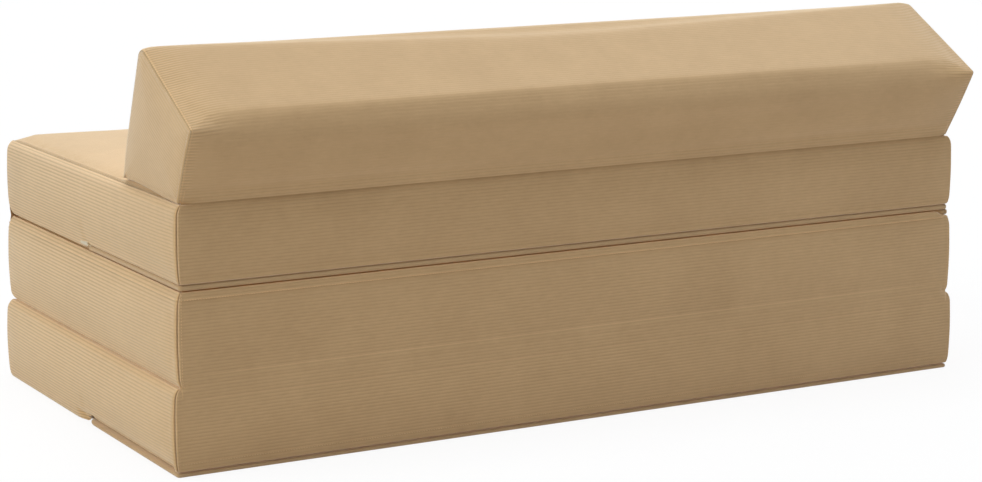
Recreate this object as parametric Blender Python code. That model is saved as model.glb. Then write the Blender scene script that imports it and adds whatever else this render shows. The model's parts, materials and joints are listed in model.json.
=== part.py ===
"""Folding sofa bed: three foam sections that unfold in a Z, with a wedge backrest.

Units are metres, +Z is up and the seat faces -Y. The origin is on the floor under
the middle of the stacked sections.
"""
import math

import bmesh
import bpy
from mathutils import Matrix, Vector

# Overall sizes
WIDTH = 1.210
DEPTH = 0.630
BASE_HEIGHT = 0.114
MIDDLE_HEIGHT = 0.123
SEAT_HEIGHT = 0.108

# Backrest profile, measured from the seat's top and its rear edge
BACKREST_HEIGHT = 0.194
BACKREST_DEPTH = 0.180
BACKREST_LEAN = 0.062
BACKREST_OVERHANG = 0.054
BACKREST_SHOULDER = 0.098
SHOULDER_RADIUS = 0.024
CREST_RADIUS = 0.018

# Cover cloth and the shape that sewing gives it
CLOTH = 0.002
CORNER_RADIUS = 0.014
EDGE_DRAW = 0.008
EDGE_RUN = 0.014
HINGE_SIDE_DRAW_SHARE = 0.5
END_SWELL = 0.005
FACE_SWELL = 0.002
SEAT_CROWN = 0.008
CROWN_POWER = 4

# Zipped edge: lip of the closing panel, then the zip, then the cover's rim
LIP_HEIGHT = 0.006
LIP_DRAW = 0.010
LIP_ROUND = 0.003
ZIP_HEIGHT = 0.0064
ZIP_DRAW = 0.008
ZIP_THICKNESS = 0.003
RIM_DRAW = 0.006
ZIP_START = 0.0
BACKREST_ZIP_SETBACK = 0.060
CREST_CORNER_SHARE = 0.4

# Zip slider and pull
SLIDER_LENGTH = 0.010
SLIDER_WIDTH = 0.0060
SLIDER_DEPTH = 0.0042
SLIDER_NOSE = 0.0015
ARCH_LENGTH = 0.0075
ARCH_WIDTH = 0.0016
ARCH_RISE = 0.0038
ARCH_BAR = 0.0011
PULL_LENGTH = 0.028
PULL_WIDTH = 0.0056
PULL_THICKNESS = 0.0012
PULL_CORNER = 0.0012
PULL_SLOT_LENGTH = 0.0034
PULL_SLOT_WIDTH = 0.0032
PULL_SLOT_CORNER = 0.0006
PULL_BAR = 0.0012

# Fabric hinges
HINGE_CLOTH = 0.0012
HINGE_STANDOFF = 0.0004
HINGE_END_SETBACK = 0.022
PLAIN_HINGE_REACH = 0.018
ZIPPED_HINGE_REACH = 0.030
HINGE_AXIS_CLEARANCE = 0.001
HINGE_FOLD_GAP = 0.0004

# Clearance between pieces that touch
FIT = 0.0003

# Angles
QUARTER_TURN = math.radians(90)
SMOOTH_LIMIT = math.radians(35)

# Facets
LONG_STEPS = 8
SHORT_STEPS = 4
CORNER_STEPS = 3
FINE_ARC_STEPS = 3
FINE_WAIST_STEPS = 3
PLAIN_ARC_STEPS = 2
PLAIN_WAIST_STEPS = 2
PLAN_STEPS = (LONG_STEPS, SHORT_STEPS, CORNER_STEPS)
STRAIGHT_STEPS = (1, 1, CORNER_STEPS)
PULL_STEPS = (1, 1, 2)
FILLET_STEPS = 8
FINE_FILLET_STEPS = 4
PLAIN_FILLET_STEPS = 2
CROWN_SHARES = (1.0, 0.9, 0.65, 0.3)

# Colours, roughness and metallic value
FINISHES = {
    "cover_cloth": ((0.56, 0.41, 0.24), 0.95, 0.0),
    "panel_cloth": ((0.50, 0.36, 0.21), 0.95, 0.0),
    "zip_tape": ((0.42, 0.31, 0.19), 0.7, 0.0),
    "zip_metal": ((0.70, 0.64, 0.52), 0.35, 1.0),
    "dark_metal": ((0.24, 0.17, 0.11), 0.4, 1.0),
    "foam": ((0.85, 0.80, 0.66), 0.9, 0.0),
}

# Places worked out from the sizes above
RIM = LIP_HEIGHT + ZIP_HEIGHT + 2 * FIT
MIDDLE_BOTTOM = BASE_HEIGHT
SEAT_BOTTOM = BASE_HEIGHT + MIDDLE_HEIGHT
SEAT_TOP = SEAT_BOTTOM + SEAT_HEIGHT
REAR = DEPTH / 2
SIDE = WIDTH / 2
HINGE_OUT = REAR + FACE_SWELL + HINGE_AXIS_CLEARANCE
LOWER_HINGE_HEIGHT = SEAT_BOTTOM / 2
UPPER_HINGE_HEIGHT = SEAT_BOTTOM
BACKREST_HINGE_HEIGHT = SEAT_TOP + HINGE_AXIS_CLEARANCE
SLIDER_FACE = FIT + SLIDER_DEPTH
SLIDER_CROWN = SLIDER_FACE + ARCH_RISE
PULL_LEVEL = SLIDER_CROWN - ARCH_BAR - FIT - PULL_THICKNESS / 2


def clear_scene():
    """Remove every object of the start-up scene."""
    for thing in list(bpy.data.objects):
        bpy.data.objects.remove(thing, do_unlink=True)


def make_materials():
    """One Principled material for each finish."""
    materials = {}
    for name, (colour, roughness, metallic) in FINISHES.items():
        material = bpy.data.materials.new(name)
        material.use_nodes = True
        shader = material.node_tree.nodes["Principled BSDF"]
        shader.inputs["Base Color"].default_value = (*colour, 1.0)
        shader.inputs["Roughness"].default_value = roughness
        shader.inputs["Metallic"].default_value = metallic
        materials[name] = material
    return materials


def make_pivot(name, place, parent=None):
    """Empty on a joint's axis that carries the pieces of one moving body."""
    pivot = bpy.data.objects.new(name, None)
    pivot.empty_display_size = CORNER_RADIUS
    bpy.context.collection.objects.link(pivot)
    pivot.parent = parent
    pivot.location = Vector(place) - (world_place(parent) if parent else Vector())
    return pivot


def world_place(pivot):
    """World position of an unturned empty."""
    place = pivot.location.copy()
    if pivot.parent is not None:
        place += world_place(pivot.parent)
    return place


def finish_object(name, mesh_work, material, pivot):
    """Turn a bmesh in world coordinates into an object under its pivot."""
    bmesh.ops.recalc_face_normals(mesh_work, faces=mesh_work.faces)
    bmesh.ops.translate(mesh_work, verts=mesh_work.verts, vec=-world_place(pivot))
    mesh = bpy.data.meshes.new(name)
    mesh_work.to_mesh(mesh)
    mesh_work.free()
    mesh.materials.append(material)
    mesh.shade_smooth()
    mesh.set_sharp_from_angle(angle=SMOOTH_LIMIT)
    piece = bpy.data.objects.new(name, mesh)
    bpy.context.collection.objects.link(piece)
    piece.parent = pivot
    return piece


def shrink(box, amount):
    """A plan box drawn in on its four sides."""
    return (box[0] + amount, box[1] - amount, box[2] + amount, box[3] - amount)


def outline(box, corner, swell=(0.0, 0.0), steps=PLAN_STEPS):
    """Rounded rectangle, counter-clockwise from its front left, with sides swelling outward."""
    x_low, x_high, y_low, y_high = box
    long_steps, short_steps, corner_steps = steps
    corners = [Vector(spot) for spot in ((x_low, y_low), (x_high, y_low), (x_high, y_high), (x_low, y_high))]
    points = []
    for index, first in enumerate(corners):
        following = corners[(index + 1) % len(corners)]
        along = (following - first).normalized()
        outward = Vector((along.y, -along.x))
        start = first + along * corner
        end = following - along * corner
        runs_long = index % 2 == 0
        count = long_steps if runs_long else short_steps
        bulge = swell[1] if runs_long else swell[0]
        for step in range(count + 1):
            share = step / count
            points.append(start.lerp(end, share) + outward * bulge * (1 - (2 * share - 1) ** 2))
        centre = end - outward * corner
        heading = math.atan2(outward.y, outward.x)
        for step in range(1, corner_steps):
            angle = heading + QUARTER_TURN * step / corner_steps
            points.append(centre + corner * Vector((math.cos(angle), math.sin(angle))))
    return points


def raise_ring(points, height):
    """Lift plan points to one height."""
    return [Vector((point.x, point.y, height)) for point in points]


def side_levels(low, high, arc_steps, waist_steps):
    """Height, draw-in and swell share of each ring up a cushion's side."""
    levels = []
    for step in range(arc_steps + 1):
        angle = QUARTER_TURN * step / arc_steps
        levels.append((low + EDGE_RUN * (1 - math.cos(angle)), RIM_DRAW * (1 - math.sin(angle)), 0.0))
    for step in range(1, waist_steps + 1):
        share = step / (waist_steps + 1)
        height = low + EDGE_RUN + (high - low - 2 * EDGE_RUN) * share
        levels.append((height, 0.0, 1 - (2 * share - 1) ** 2))
    for step in range(arc_steps + 1):
        angle = QUARTER_TURN * (1 - step / arc_steps)
        levels.append((high - EDGE_RUN * (1 - math.cos(angle)), EDGE_DRAW * (1 - math.sin(angle)), 0.0))
    return levels


def plain_ring(plan, draw, height):
    """Rounded rectangle without swell, drawn in from a plan box."""
    return raise_ring(outline(shrink(plan, draw), CORNER_RADIUS), height)


def section_ring(height, draw, swell_share, inset):
    """One ring of a section's side; the hinge draws the rear face in less."""
    rear_draw = draw * HINGE_SIDE_DRAW_SHARE
    box = shrink((-SIDE + draw, SIDE - draw, -REAR + draw, REAR - rear_draw), inset)
    swell = (END_SWELL * swell_share, FACE_SWELL * swell_share)
    return raise_ring(outline(box, CORNER_RADIUS - inset, swell), height)


def section_rings(height, inset, fine):
    """Rings from the zipped rim to the plain edge of a section, inset from its outer face."""
    arc_steps = FINE_ARC_STEPS if fine else PLAIN_ARC_STEPS
    waist_steps = FINE_WAIST_STEPS if fine else PLAIN_WAIST_STEPS
    levels = side_levels(RIM, height - inset, arc_steps, waist_steps)
    return [section_ring(z, draw, share, inset) for z, draw, share in levels]


def crown_rings(inset, height, crown):
    """Rings that raise the seat's free top, ahead of the backrest; the last is one point."""
    margin = EDGE_DRAW + inset + EDGE_RUN
    foot = backrest_corners(0.0)[-1].x - FIT
    box = (-SIDE + margin, SIDE - margin, -REAR + margin, foot)
    centre = Vector((0, (box[2] + box[3]) / 2, height))
    flat = raise_ring(outline(box, CORNER_RADIUS), height)
    rings = []
    for share in CROWN_SHARES:
        rise = Vector((0, 0, crown * (1 - share ** CROWN_POWER)))
        rings.append([centre.lerp(point, share) + rise for point in flat])
    return rings + [[centre + Vector((0, 0, crown))]]


def add_rings(work, rings):
    """Vertices and faces of a stack of rings; a ring of one point closes the stack."""
    rows = [[work.verts.new(point) for point in ring] for ring in rings]
    for lower, upper in zip(rows, rows[1:]):
        count = len(lower)
        for index in range(count):
            following = (index + 1) % count
            if len(upper) == 1:
                work.faces.new((lower[index], lower[following], upper[0]))
            else:
                work.faces.new((lower[index], lower[following], upper[following], upper[index]))
    return rows


def bridge(work, first, second):
    """Faces between two rings of vertices."""
    count = len(first)
    for index in range(count):
        following = (index + 1) % count
        work.faces.new((first[index], second[index], second[following], first[following]))


def make_shell(name, outer, inner, place, material, pivot):
    """Sewn cover: an outer and an inner skin joined at the rim."""
    work = bmesh.new()
    outer_rows = add_rings(work, [place(ring) for ring in outer])
    inner_rows = add_rings(work, [place(ring) for ring in inner])
    bridge(work, outer_rows[0], inner_rows[0])
    for rows in (outer_rows, inner_rows):
        if len(rows[-1]) > 1:
            work.faces.new(rows[-1])
    return finish_object(name, work, material, pivot)


def make_solid(name, rings, place, material, pivot):
    """Closed solid from a stack of rings, with flat ends where no point closes it."""
    work = bmesh.new()
    rows = add_rings(work, [place(ring) for ring in rings])
    work.faces.new(rows[0])
    if len(rows[-1]) > 1:
        work.faces.new(rows[-1])
    return finish_object(name, work, material, pivot)


def make_pan(name, rings, inner_rings, place, material, pivot):
    """Closing panel: a flat floor with a turned-up lip."""
    work = bmesh.new()
    rows = add_rings(work, [place(ring) for ring in rings])
    inner_rows = add_rings(work, [place(ring) for ring in inner_rings])
    work.faces.new(rows[0])
    work.faces.new(inner_rows[0])
    bridge(work, rows[-1], inner_rows[-1])
    return finish_object(name, work, material, pivot)


def make_band(name, outer, inner, low, high, place, material, pivot):
    """Strip of even height that follows an open path."""
    work = bmesh.new()
    rows = []
    for path, height in ((outer, low), (outer, high), (inner, high), (inner, low)):
        rows.append([work.verts.new(point) for point in place(raise_ring(path, height))])
    for row, following in zip(rows, rows[1:] + rows[:1]):
        for index in range(len(row) - 1):
            work.faces.new((row[index], row[index + 1], following[index + 1], following[index]))
    work.faces.new([row[0] for row in rows])
    work.faces.new([row[-1] for row in rows])
    return finish_object(name, work, material, pivot)


def half_path(box, rear):
    """The rear or front half of a rounded rectangle, as an open path from +X to -X."""
    side = 1 if rear else -1
    edge = ZIP_START + side * FIT / 2
    ring = outline(box, CORNER_RADIUS, steps=STRAIGHT_STEPS)
    kept = [point for point in ring if side * (point.y - ZIP_START) > 0]
    kept.sort(key=lambda point: math.atan2(side * (point.y - ZIP_START), point.x))
    return [Vector((box[1], edge))] + kept + [Vector((box[0], edge))]


def open_path(box, opening):
    """A rounded rectangle that stays open along the front, between two places on it."""
    ring = outline(box, CORNER_RADIUS, steps=STRAIGHT_STEPS)
    return [Vector((opening, box[2]))] + ring[1:] + [ring[0], Vector((-opening, box[2]))]


def foot_rings(ring_at):
    """Outer and inner rings of a closing panel, and the foot of the foam above it."""
    inside = LIP_DRAW + CLOTH
    pan = [ring_at(0.0, LIP_DRAW + LIP_ROUND), ring_at(LIP_ROUND, LIP_DRAW), ring_at(LIP_HEIGHT, LIP_DRAW)]
    pan_inside = [
        ring_at(CLOTH, inside + LIP_ROUND),
        ring_at(CLOTH + LIP_ROUND, inside),
        ring_at(LIP_HEIGHT, inside),
    ]
    core_draw = inside + LIP_ROUND + FIT
    core = [ring_at(CLOTH + FIT, core_draw), ring_at(RIM - FIT, core_draw)]
    return pan, pan_inside, core


def make_section(prefix, bottom, height, flipped, crown, materials, pivot):
    """Foam core, cover, closing panel, zip and front seam of one section."""
    thickness = height - FIT

    def place(ring):
        if flipped:
            return [Vector((point.x, point.y, bottom + thickness - point.z)) for point in ring]
        return [Vector((point.x, point.y, bottom + point.z)) for point in ring]

    outer = section_rings(thickness, 0.0, True)
    inner = section_rings(thickness, CLOTH, False)
    foam = section_rings(thickness, CLOTH + FIT, False)
    if crown:
        outer += crown_rings(0.0, thickness, crown)
        inner += crown_rings(CLOTH, thickness - CLOTH, crown)
        foam += crown_rings(CLOTH + FIT, thickness - CLOTH - FIT, crown)
    make_shell(f"{prefix}_cover", outer, inner, place, materials["cover_cloth"], pivot)

    plan = (-SIDE, SIDE, -REAR, REAR)
    pan, pan_inside, core = foot_rings(lambda level, draw: plain_ring(plan, draw, level))
    make_pan(f"{prefix}_zip_panel", pan, pan_inside, place, materials["panel_cloth"], pivot)
    foam[0] = [point + Vector((0, 0, FIT)) for point in foam[0]]
    make_solid(f"{prefix}_foam_core", core + foam, place, materials["foam"], pivot)

    zip_box = shrink(plan, ZIP_DRAW)
    zip_low = LIP_HEIGHT + FIT
    span = (zip_low, zip_low + ZIP_HEIGHT)
    for piece, rear, finish in (("zip_chain", True, "zip_tape"), ("front_seam", False, "cover_cloth")):
        face = half_path(zip_box, rear)
        back = half_path(shrink(zip_box, ZIP_THICKNESS), rear)
        make_band(f"{prefix}_{piece}", face, back, *span, place, materials[finish], pivot)


def slider_body():
    """Body of a zip slider in its own frame: X along the zip, Z out of its face."""
    work = bmesh.new()
    half_length = SLIDER_LENGTH / 2
    half_width = SLIDER_WIDTH / 2
    shoulder = half_length - SLIDER_NOSE
    waist = half_width - SLIDER_NOSE
    right_side = [(-half_length, -half_width), (shoulder, -half_width), (half_length, -waist)]
    plan = right_side + [(x, -y) for x, y in reversed(right_side)]
    rows = add_rings(work, [[Vector((x, y, z)) for x, y in plan] for z in (FIT, SLIDER_FACE)])
    for row in rows:
        work.faces.new(row)
    return work


def slider_arch():
    """Arch that stands on the slider and holds its pull."""
    work = bmesh.new()
    reach = ARCH_LENGTH / 2
    foot = SLIDER_FACE - ARCH_BAR
    outside = [(reach, foot), (reach, SLIDER_CROWN - ARCH_BAR), (reach - ARCH_BAR, SLIDER_CROWN)]
    inside = [(x - ARCH_BAR, z - ARCH_BAR) for x, z in outside[1:]]
    inside = [(reach - ARCH_BAR, foot)] + inside
    outside += [(-x, z) for x, z in reversed(outside)]
    inside += [(-x, z) for x, z in reversed(inside)]
    last = len(outside) - 1
    rows = []
    for offset in (-ARCH_WIDTH / 2, ARCH_WIDTH / 2):
        outer_row = [work.verts.new((x, offset, z)) for x, z in outside]
        inner_row = [work.verts.new((x, offset, z)) for x, z in inside]
        for index in range(last):
            following = index + 1
            work.faces.new((outer_row[index], outer_row[following], inner_row[following], inner_row[index]))
        rows.append(outer_row + inner_row[::-1])
    bridge(work, rows[0], rows[1])
    return work


def pull_plate():
    """Pull tab with the slot that the arch passes through, lying back along the zip."""
    work = bmesh.new()
    half_bar = PULL_BAR / 2
    edge_box = (half_bar - PULL_LENGTH, half_bar, -PULL_WIDTH / 2, PULL_WIDTH / 2)
    slot_box = (-half_bar - PULL_SLOT_LENGTH, -half_bar, -PULL_SLOT_WIDTH / 2, PULL_SLOT_WIDTH / 2)
    edge = outline(edge_box, PULL_CORNER, steps=PULL_STEPS)
    slot = outline(slot_box, PULL_SLOT_CORNER, steps=PULL_STEPS)
    sides = []
    for height in (PULL_LEVEL - PULL_THICKNESS / 2, PULL_LEVEL + PULL_THICKNESS / 2):
        edge_row = [work.verts.new(point) for point in raise_ring(edge, height)]
        slot_row = [work.verts.new(point) for point in raise_ring(slot, height)]
        bridge(work, edge_row, slot_row)
        sides.append((edge_row, slot_row))
    for lower, upper in zip(*sides):
        bridge(work, lower, upper)
    return work


def make_slider(prefix, place, slide, outward, material, parent):
    """Zip slider and the pull that swings on it, placed on the zip's face."""
    turn = Matrix((slide, outward.cross(slide), outward)).transposed().to_4x4()
    turn.translation = place
    pivot = make_pivot(f"{prefix}_slider_pivot", place, parent)
    pull_pivot = make_pivot(f"{prefix}_pull_pivot", turn @ Vector((0, 0, PULL_LEVEL)), pivot)
    pieces = (
        (f"{prefix}_zip_slider", slider_body(), pivot),
        (f"{prefix}_arch_shape", slider_arch(), pivot),
        (f"{prefix}_zip_pull", pull_plate(), pull_pivot),
    )
    made = []
    for name, work, carrier in pieces:
        work.transform(turn)
        made.append(finish_object(name, work, material, carrier))
    slider, arch, _ = made
    arch.hide_render = True
    arch.display_type = "WIRE"
    union = slider.modifiers.new("arch", "BOOLEAN")
    union.operation = "UNION"
    union.solver = "EXACT"
    union.object = arch


def make_leaf(name, start, run, outward, material, pivot):
    """One half of a fabric hinge: a strip from the sewn line to the fold."""
    reach = SIDE - HINGE_END_SETBACK
    work = bmesh.new()
    rows = []
    for x in (-reach, reach):
        corners = (start, start + run, start + run + outward * HINGE_CLOTH, start + outward * HINGE_CLOTH)
        rows.append([work.verts.new(Vector((x, corner.y, corner.z))) for corner in corners])
    bridge(work, rows[0], rows[1])
    work.faces.new(rows[0])
    work.faces.new(rows[1])
    return finish_object(name, work, material, pivot)


def backrest_corners(inset):
    """Corners of the backrest's profile in Y and Z, each side moved in by the inset."""
    rear = REAR - EDGE_DRAW * HINGE_SIDE_DRAW_SHARE
    points = [
        Vector((rear, SEAT_TOP)),
        Vector((rear + BACKREST_OVERHANG, SEAT_TOP + BACKREST_SHOULDER)),
        Vector((rear - BACKREST_DEPTH + BACKREST_LEAN, SEAT_TOP + BACKREST_HEIGHT)),
        Vector((rear - BACKREST_DEPTH, SEAT_TOP)),
    ]
    moved = []
    for index, corner in enumerate(points):
        before = (corner - points[index - 1]).normalized()
        after = (points[(index + 1) % len(points)] - corner).normalized()
        normal_before = Vector((-before.y, before.x))
        normal_after = Vector((-after.y, after.x))
        bisector = normal_before + normal_after
        moved.append(corner + bisector * inset / (1 + normal_before.dot(normal_after)))
    return moved


def fillet(before, corner, after, radius):
    """Arc that rounds a corner of a profile."""
    inward = (before - corner).normalized()
    outward = (after - corner).normalized()
    half_angle = inward.angle(outward) / 2
    tangent = radius / math.tan(half_angle)
    centre = corner + (inward + outward).normalized() * radius / math.sin(half_angle)
    start = (corner + inward * tangent - centre).normalized()
    end = (corner + outward * tangent - centre).normalized()
    steps = range(FILLET_STEPS + 1)
    return [centre + radius * start.slerp(end, step / FILLET_STEPS) for step in steps]


def backrest_profile(inset):
    """Rounded profile of the backrest, from its rear foot over the crest to its front foot."""
    rear_foot, shoulder, crest, front_foot = backrest_corners(inset)
    profile = [rear_foot]
    profile += fillet(rear_foot, shoulder, crest, SHOULDER_RADIUS - inset)
    profile += fillet(shoulder, crest, front_foot, CREST_RADIUS - inset)
    profile.append(front_foot)
    return profile


def profile_span(profile, height):
    """Front and rear edge of a profile at one height."""
    crossings = []
    for first, second in zip(profile, profile[1:]):
        low, high = sorted((first.y, second.y))
        if low <= height <= high and high > low:
            share = (height - first.y) / (second.y - first.y)
            crossings.append(first.x + (second.x - first.x) * share)
    return min(crossings), max(crossings)


def backrest_levels(profile, fine):
    """Heights of the rings up the backrest, with the draw-in of each at its foot."""
    rim = SEAT_TOP + FIT + RIM
    stride = FILLET_STEPS // (FINE_FILLET_STEPS if fine else PLAIN_FILLET_STEPS)
    steps = FINE_ARC_STEPS if fine else PLAIN_ARC_STEPS
    shoulder = [point.y for point in profile[1:FILLET_STEPS + 2]]
    crest = [point.y for point in profile[FILLET_STEPS + 2:2 * FILLET_STEPS + 3]]
    climb = max(crest) - crest[0]
    levels = []
    for step in range(steps + 1):
        angle = QUARTER_TURN * step / steps
        levels.append((rim + EDGE_RUN * (1 - math.cos(angle)), RIM_DRAW * (1 - math.sin(angle))))
    levels.append(((rim + EDGE_RUN + shoulder[0]) / 2, 0.0))
    levels += [(height, 0.0) for height in shoulder[::stride]]
    levels.append(((shoulder[-1] + crest[0]) / 2, 0.0))
    for step in range(steps + 1):
        angle = QUARTER_TURN * step / (steps + 1)
        levels.append((crest[0] + climb * math.sin(angle), 0.0))
    return levels


def backrest_rings(inset, fine):
    """Rings up the backrest, from its rim to the crest."""
    profile = backrest_profile(inset)
    levels = backrest_levels(profile, fine)
    bottom = levels[0][0]
    top = levels[-1][0]
    rings = []
    for height, draw in levels:
        front, rear = profile_span(profile, height)
        share = (height - bottom) / (top - bottom)
        swell = (END_SWELL * (1 - (2 * share - 1) ** 2), 0.0)
        corner = min(CORNER_RADIUS - inset, (rear - front) * CREST_CORNER_SHARE)
        box = shrink((-SIDE + inset, SIDE - inset, front, rear), draw)
        rings.append(raise_ring(outline(box, corner, swell), height))
    return rings


def make_backrest(materials, pivot):
    """Foam core, cover, closing panel, zip and seam of the wedge backrest."""
    def place(ring):
        return ring

    def close_crest(rings):
        centre = sum(rings[-1], Vector()) / len(rings[-1])
        return rings + [[centre]]

    outer = close_crest(backrest_rings(0.0, True))
    inner = close_crest(backrest_rings(CLOTH, False))
    make_shell("backrest_cover", outer, inner, place, materials["cover_cloth"], pivot)

    bottom = SEAT_TOP + FIT
    rear_foot, _, _, front_foot = backrest_corners(0.0)
    plan = (-SIDE, SIDE, front_foot.x, rear_foot.x)
    pan, pan_inside, core = foot_rings(lambda level, draw: plain_ring(plan, draw, bottom + level))
    make_pan("backrest_zip_panel", pan, pan_inside, place, materials["panel_cloth"], pivot)
    foam = backrest_rings(CLOTH + FIT, False)
    foam[0] = [point + Vector((0, 0, FIT)) for point in foam[0]]
    make_solid("backrest_foam_core", close_crest(core + foam), place, materials["foam"], pivot)

    zip_box = shrink(plan, ZIP_DRAW)
    deeper = shrink(zip_box, ZIP_THICKNESS)
    zip_low = bottom + LIP_HEIGHT + FIT
    span = (zip_low, zip_low + ZIP_HEIGHT)
    zip_end = SIDE - BACKREST_ZIP_SETBACK
    zip_face = [Vector((zip_end, zip_box[2])), Vector((-zip_end, zip_box[2]))]
    zip_back = [Vector((zip_end, deeper[2])), Vector((-zip_end, deeper[2]))]
    make_band("backrest_zip_chain", zip_face, zip_back, *span, place, materials["zip_tape"], pivot)
    seam_face = open_path(zip_box, zip_end + FIT)
    seam_back = open_path(deeper, zip_end + FIT)
    make_band("backrest_seam", seam_face, seam_back, *span, place, materials["cover_cloth"], pivot)


def make_sliders(materials, base, middle, seat, backrest):
    """One zip slider with its pull on each section and on the backrest."""
    face = SIDE - ZIP_DRAW
    parked = ZIP_START + SLIDER_LENGTH / 2
    centre = LIP_HEIGHT + FIT + ZIP_HEIGHT / 2
    rearward = Vector((0, 1, 0))
    right = Vector((1, 0, 0))
    light = materials["zip_metal"]
    dark = materials["dark_metal"]
    make_slider("base", Vector((face, parked, centre)), rearward, right, dark, base)
    middle_spot = Vector((-face, parked, SEAT_BOTTOM - FIT - centre))
    make_slider("middle", middle_spot, rearward, -right, light, middle)
    make_slider("seat", Vector((face, parked, SEAT_BOTTOM + centre)), rearward, right, light, seat)
    zip_front = backrest_corners(0.0)[-1].x + ZIP_DRAW
    zip_end = SIDE - BACKREST_ZIP_SETBACK - SLIDER_LENGTH / 2
    backrest_spot = Vector((zip_end, zip_front, SEAT_TOP + FIT + centre))
    make_slider("backrest", backrest_spot, -right, -rearward, light, backrest)


def make_hinges(materials, base, middle, seat, backrest):
    """Fabric hinges, each a pair of sewn strips that meet at the fold."""
    cloth = materials["cover_cloth"]
    face = REAR + HINGE_STANDOFF
    fold = HINGE_FOLD_GAP / 2
    up = Vector((0, 0, 1))
    rear = Vector((0, 1, 0))

    foot = BASE_HEIGHT - PLAIN_HINGE_REACH
    top = MIDDLE_BOTTOM + PLAIN_HINGE_REACH
    rise = up * (LOWER_HINGE_HEIGHT - fold - foot)
    drop = up * (LOWER_HINGE_HEIGHT + fold - top)
    make_leaf("lower_hinge_base_leaf", Vector((0, face, foot)), rise, rear, cloth, base)
    make_leaf("lower_hinge_middle_leaf", Vector((0, face, top)), drop, rear, cloth, middle)

    foot = UPPER_HINGE_HEIGHT - ZIPPED_HINGE_REACH
    top = UPPER_HINGE_HEIGHT + ZIPPED_HINGE_REACH
    reach = up * (ZIPPED_HINGE_REACH - fold)
    make_leaf("upper_hinge_middle_leaf", Vector((0, -face, foot)), reach, -rear, cloth, middle)
    make_leaf("upper_hinge_seat_leaf", Vector((0, -face, top)), -reach, -rear, cloth, seat)

    foot = SEAT_TOP - PLAIN_HINGE_REACH
    rise = up * (BACKREST_HINGE_HEIGHT - fold - foot)
    make_leaf("backrest_hinge_seat_leaf", Vector((0, face, foot)), rise, rear, cloth, seat)
    rear_foot, shoulder = backrest_corners(0.0)[:2]
    slope = Vector((0, shoulder.x - rear_foot.x, shoulder.y - rear_foot.y)).normalized()
    outward = Vector((0, slope.z, -slope.y))
    sewn = Vector((0, *rear_foot)) + slope * ZIPPED_HINGE_REACH + outward * HINGE_STANDOFF
    run = -slope * (ZIPPED_HINGE_REACH - HINGE_AXIS_CLEARANCE - fold)
    make_leaf("backrest_hinge_backrest_leaf", sewn, run, outward, cloth, backrest)


def main():
    """Build the whole sofa bed."""
    clear_scene()
    materials = make_materials()

    base = make_pivot("base_body", (0, 0, 0))
    middle = make_pivot("middle_body", (0, HINGE_OUT, LOWER_HINGE_HEIGHT), base)
    seat = make_pivot("seat_body", (0, -HINGE_OUT, UPPER_HINGE_HEIGHT), middle)
    backrest = make_pivot("backrest_body", (0, HINGE_OUT, BACKREST_HINGE_HEIGHT), seat)

    make_section("base", 0, BASE_HEIGHT, False, 0, materials, base)
    make_section("middle", MIDDLE_BOTTOM, MIDDLE_HEIGHT, True, 0, materials, middle)
    make_section("seat", SEAT_BOTTOM, SEAT_HEIGHT, False, SEAT_CROWN, materials, seat)
    make_backrest(materials, backrest)
    make_sliders(materials, base, middle, seat, backrest)
    make_hinges(materials, base, middle, seat, backrest)


main()
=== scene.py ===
import json
import math

import bmesh
import bpy
import numpy as np
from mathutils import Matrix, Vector

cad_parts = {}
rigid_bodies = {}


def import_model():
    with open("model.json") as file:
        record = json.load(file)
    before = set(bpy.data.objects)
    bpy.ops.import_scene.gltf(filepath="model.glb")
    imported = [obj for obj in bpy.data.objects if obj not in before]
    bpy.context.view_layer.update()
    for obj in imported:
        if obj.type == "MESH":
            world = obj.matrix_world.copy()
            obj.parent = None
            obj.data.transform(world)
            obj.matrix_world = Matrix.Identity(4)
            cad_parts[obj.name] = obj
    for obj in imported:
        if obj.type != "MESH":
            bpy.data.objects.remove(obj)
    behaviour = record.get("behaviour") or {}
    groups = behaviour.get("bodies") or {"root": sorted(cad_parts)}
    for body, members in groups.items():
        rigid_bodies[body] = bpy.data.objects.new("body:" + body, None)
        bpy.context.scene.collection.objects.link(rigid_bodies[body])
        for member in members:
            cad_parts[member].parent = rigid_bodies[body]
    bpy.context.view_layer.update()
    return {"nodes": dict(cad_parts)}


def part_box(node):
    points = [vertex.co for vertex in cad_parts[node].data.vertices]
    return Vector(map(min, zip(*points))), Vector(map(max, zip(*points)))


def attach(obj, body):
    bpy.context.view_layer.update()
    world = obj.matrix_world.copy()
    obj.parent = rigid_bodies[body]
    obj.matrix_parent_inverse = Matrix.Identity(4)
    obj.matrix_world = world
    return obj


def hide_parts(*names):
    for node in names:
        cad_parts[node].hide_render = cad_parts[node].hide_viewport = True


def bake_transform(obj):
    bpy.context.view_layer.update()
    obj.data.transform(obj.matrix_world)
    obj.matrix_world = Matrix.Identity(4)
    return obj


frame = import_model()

bl_info = {
    "name": "Folding sofa bed",
    "version": (1, 0, 0),
    "blender": (4, 5, 0),
    "location": "View3D > Sidebar > Sofa bed",
    "description": "Sewn covers, zips, hinges and studio for a sofa bed of three foam sections",
    "category": "Add Mesh",
}

MM = 0.001
SECTIONS = ("base", "middle", "seat")
FLIPPED = "middle"

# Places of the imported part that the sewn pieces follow
LIP_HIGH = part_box("base_zip_panel")[1]
LIP_INSET = 10 * MM
SIDE = LIP_HIGH.x + LIP_INSET
REAR = LIP_HIGH.y + LIP_INSET
REST_HEIGHT = {name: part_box(f"{name}_zip_panel")[0].z for name in (*SECTIONS, "backrest")}
REST_HEIGHT[FLIPPED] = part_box(f"{FLIPPED}_cover")[0].z
FOOT_LOW, FOOT_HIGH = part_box("backrest_zip_panel")
BACKREST_FLOOR = REST_HEIGHT["backrest"]

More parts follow.
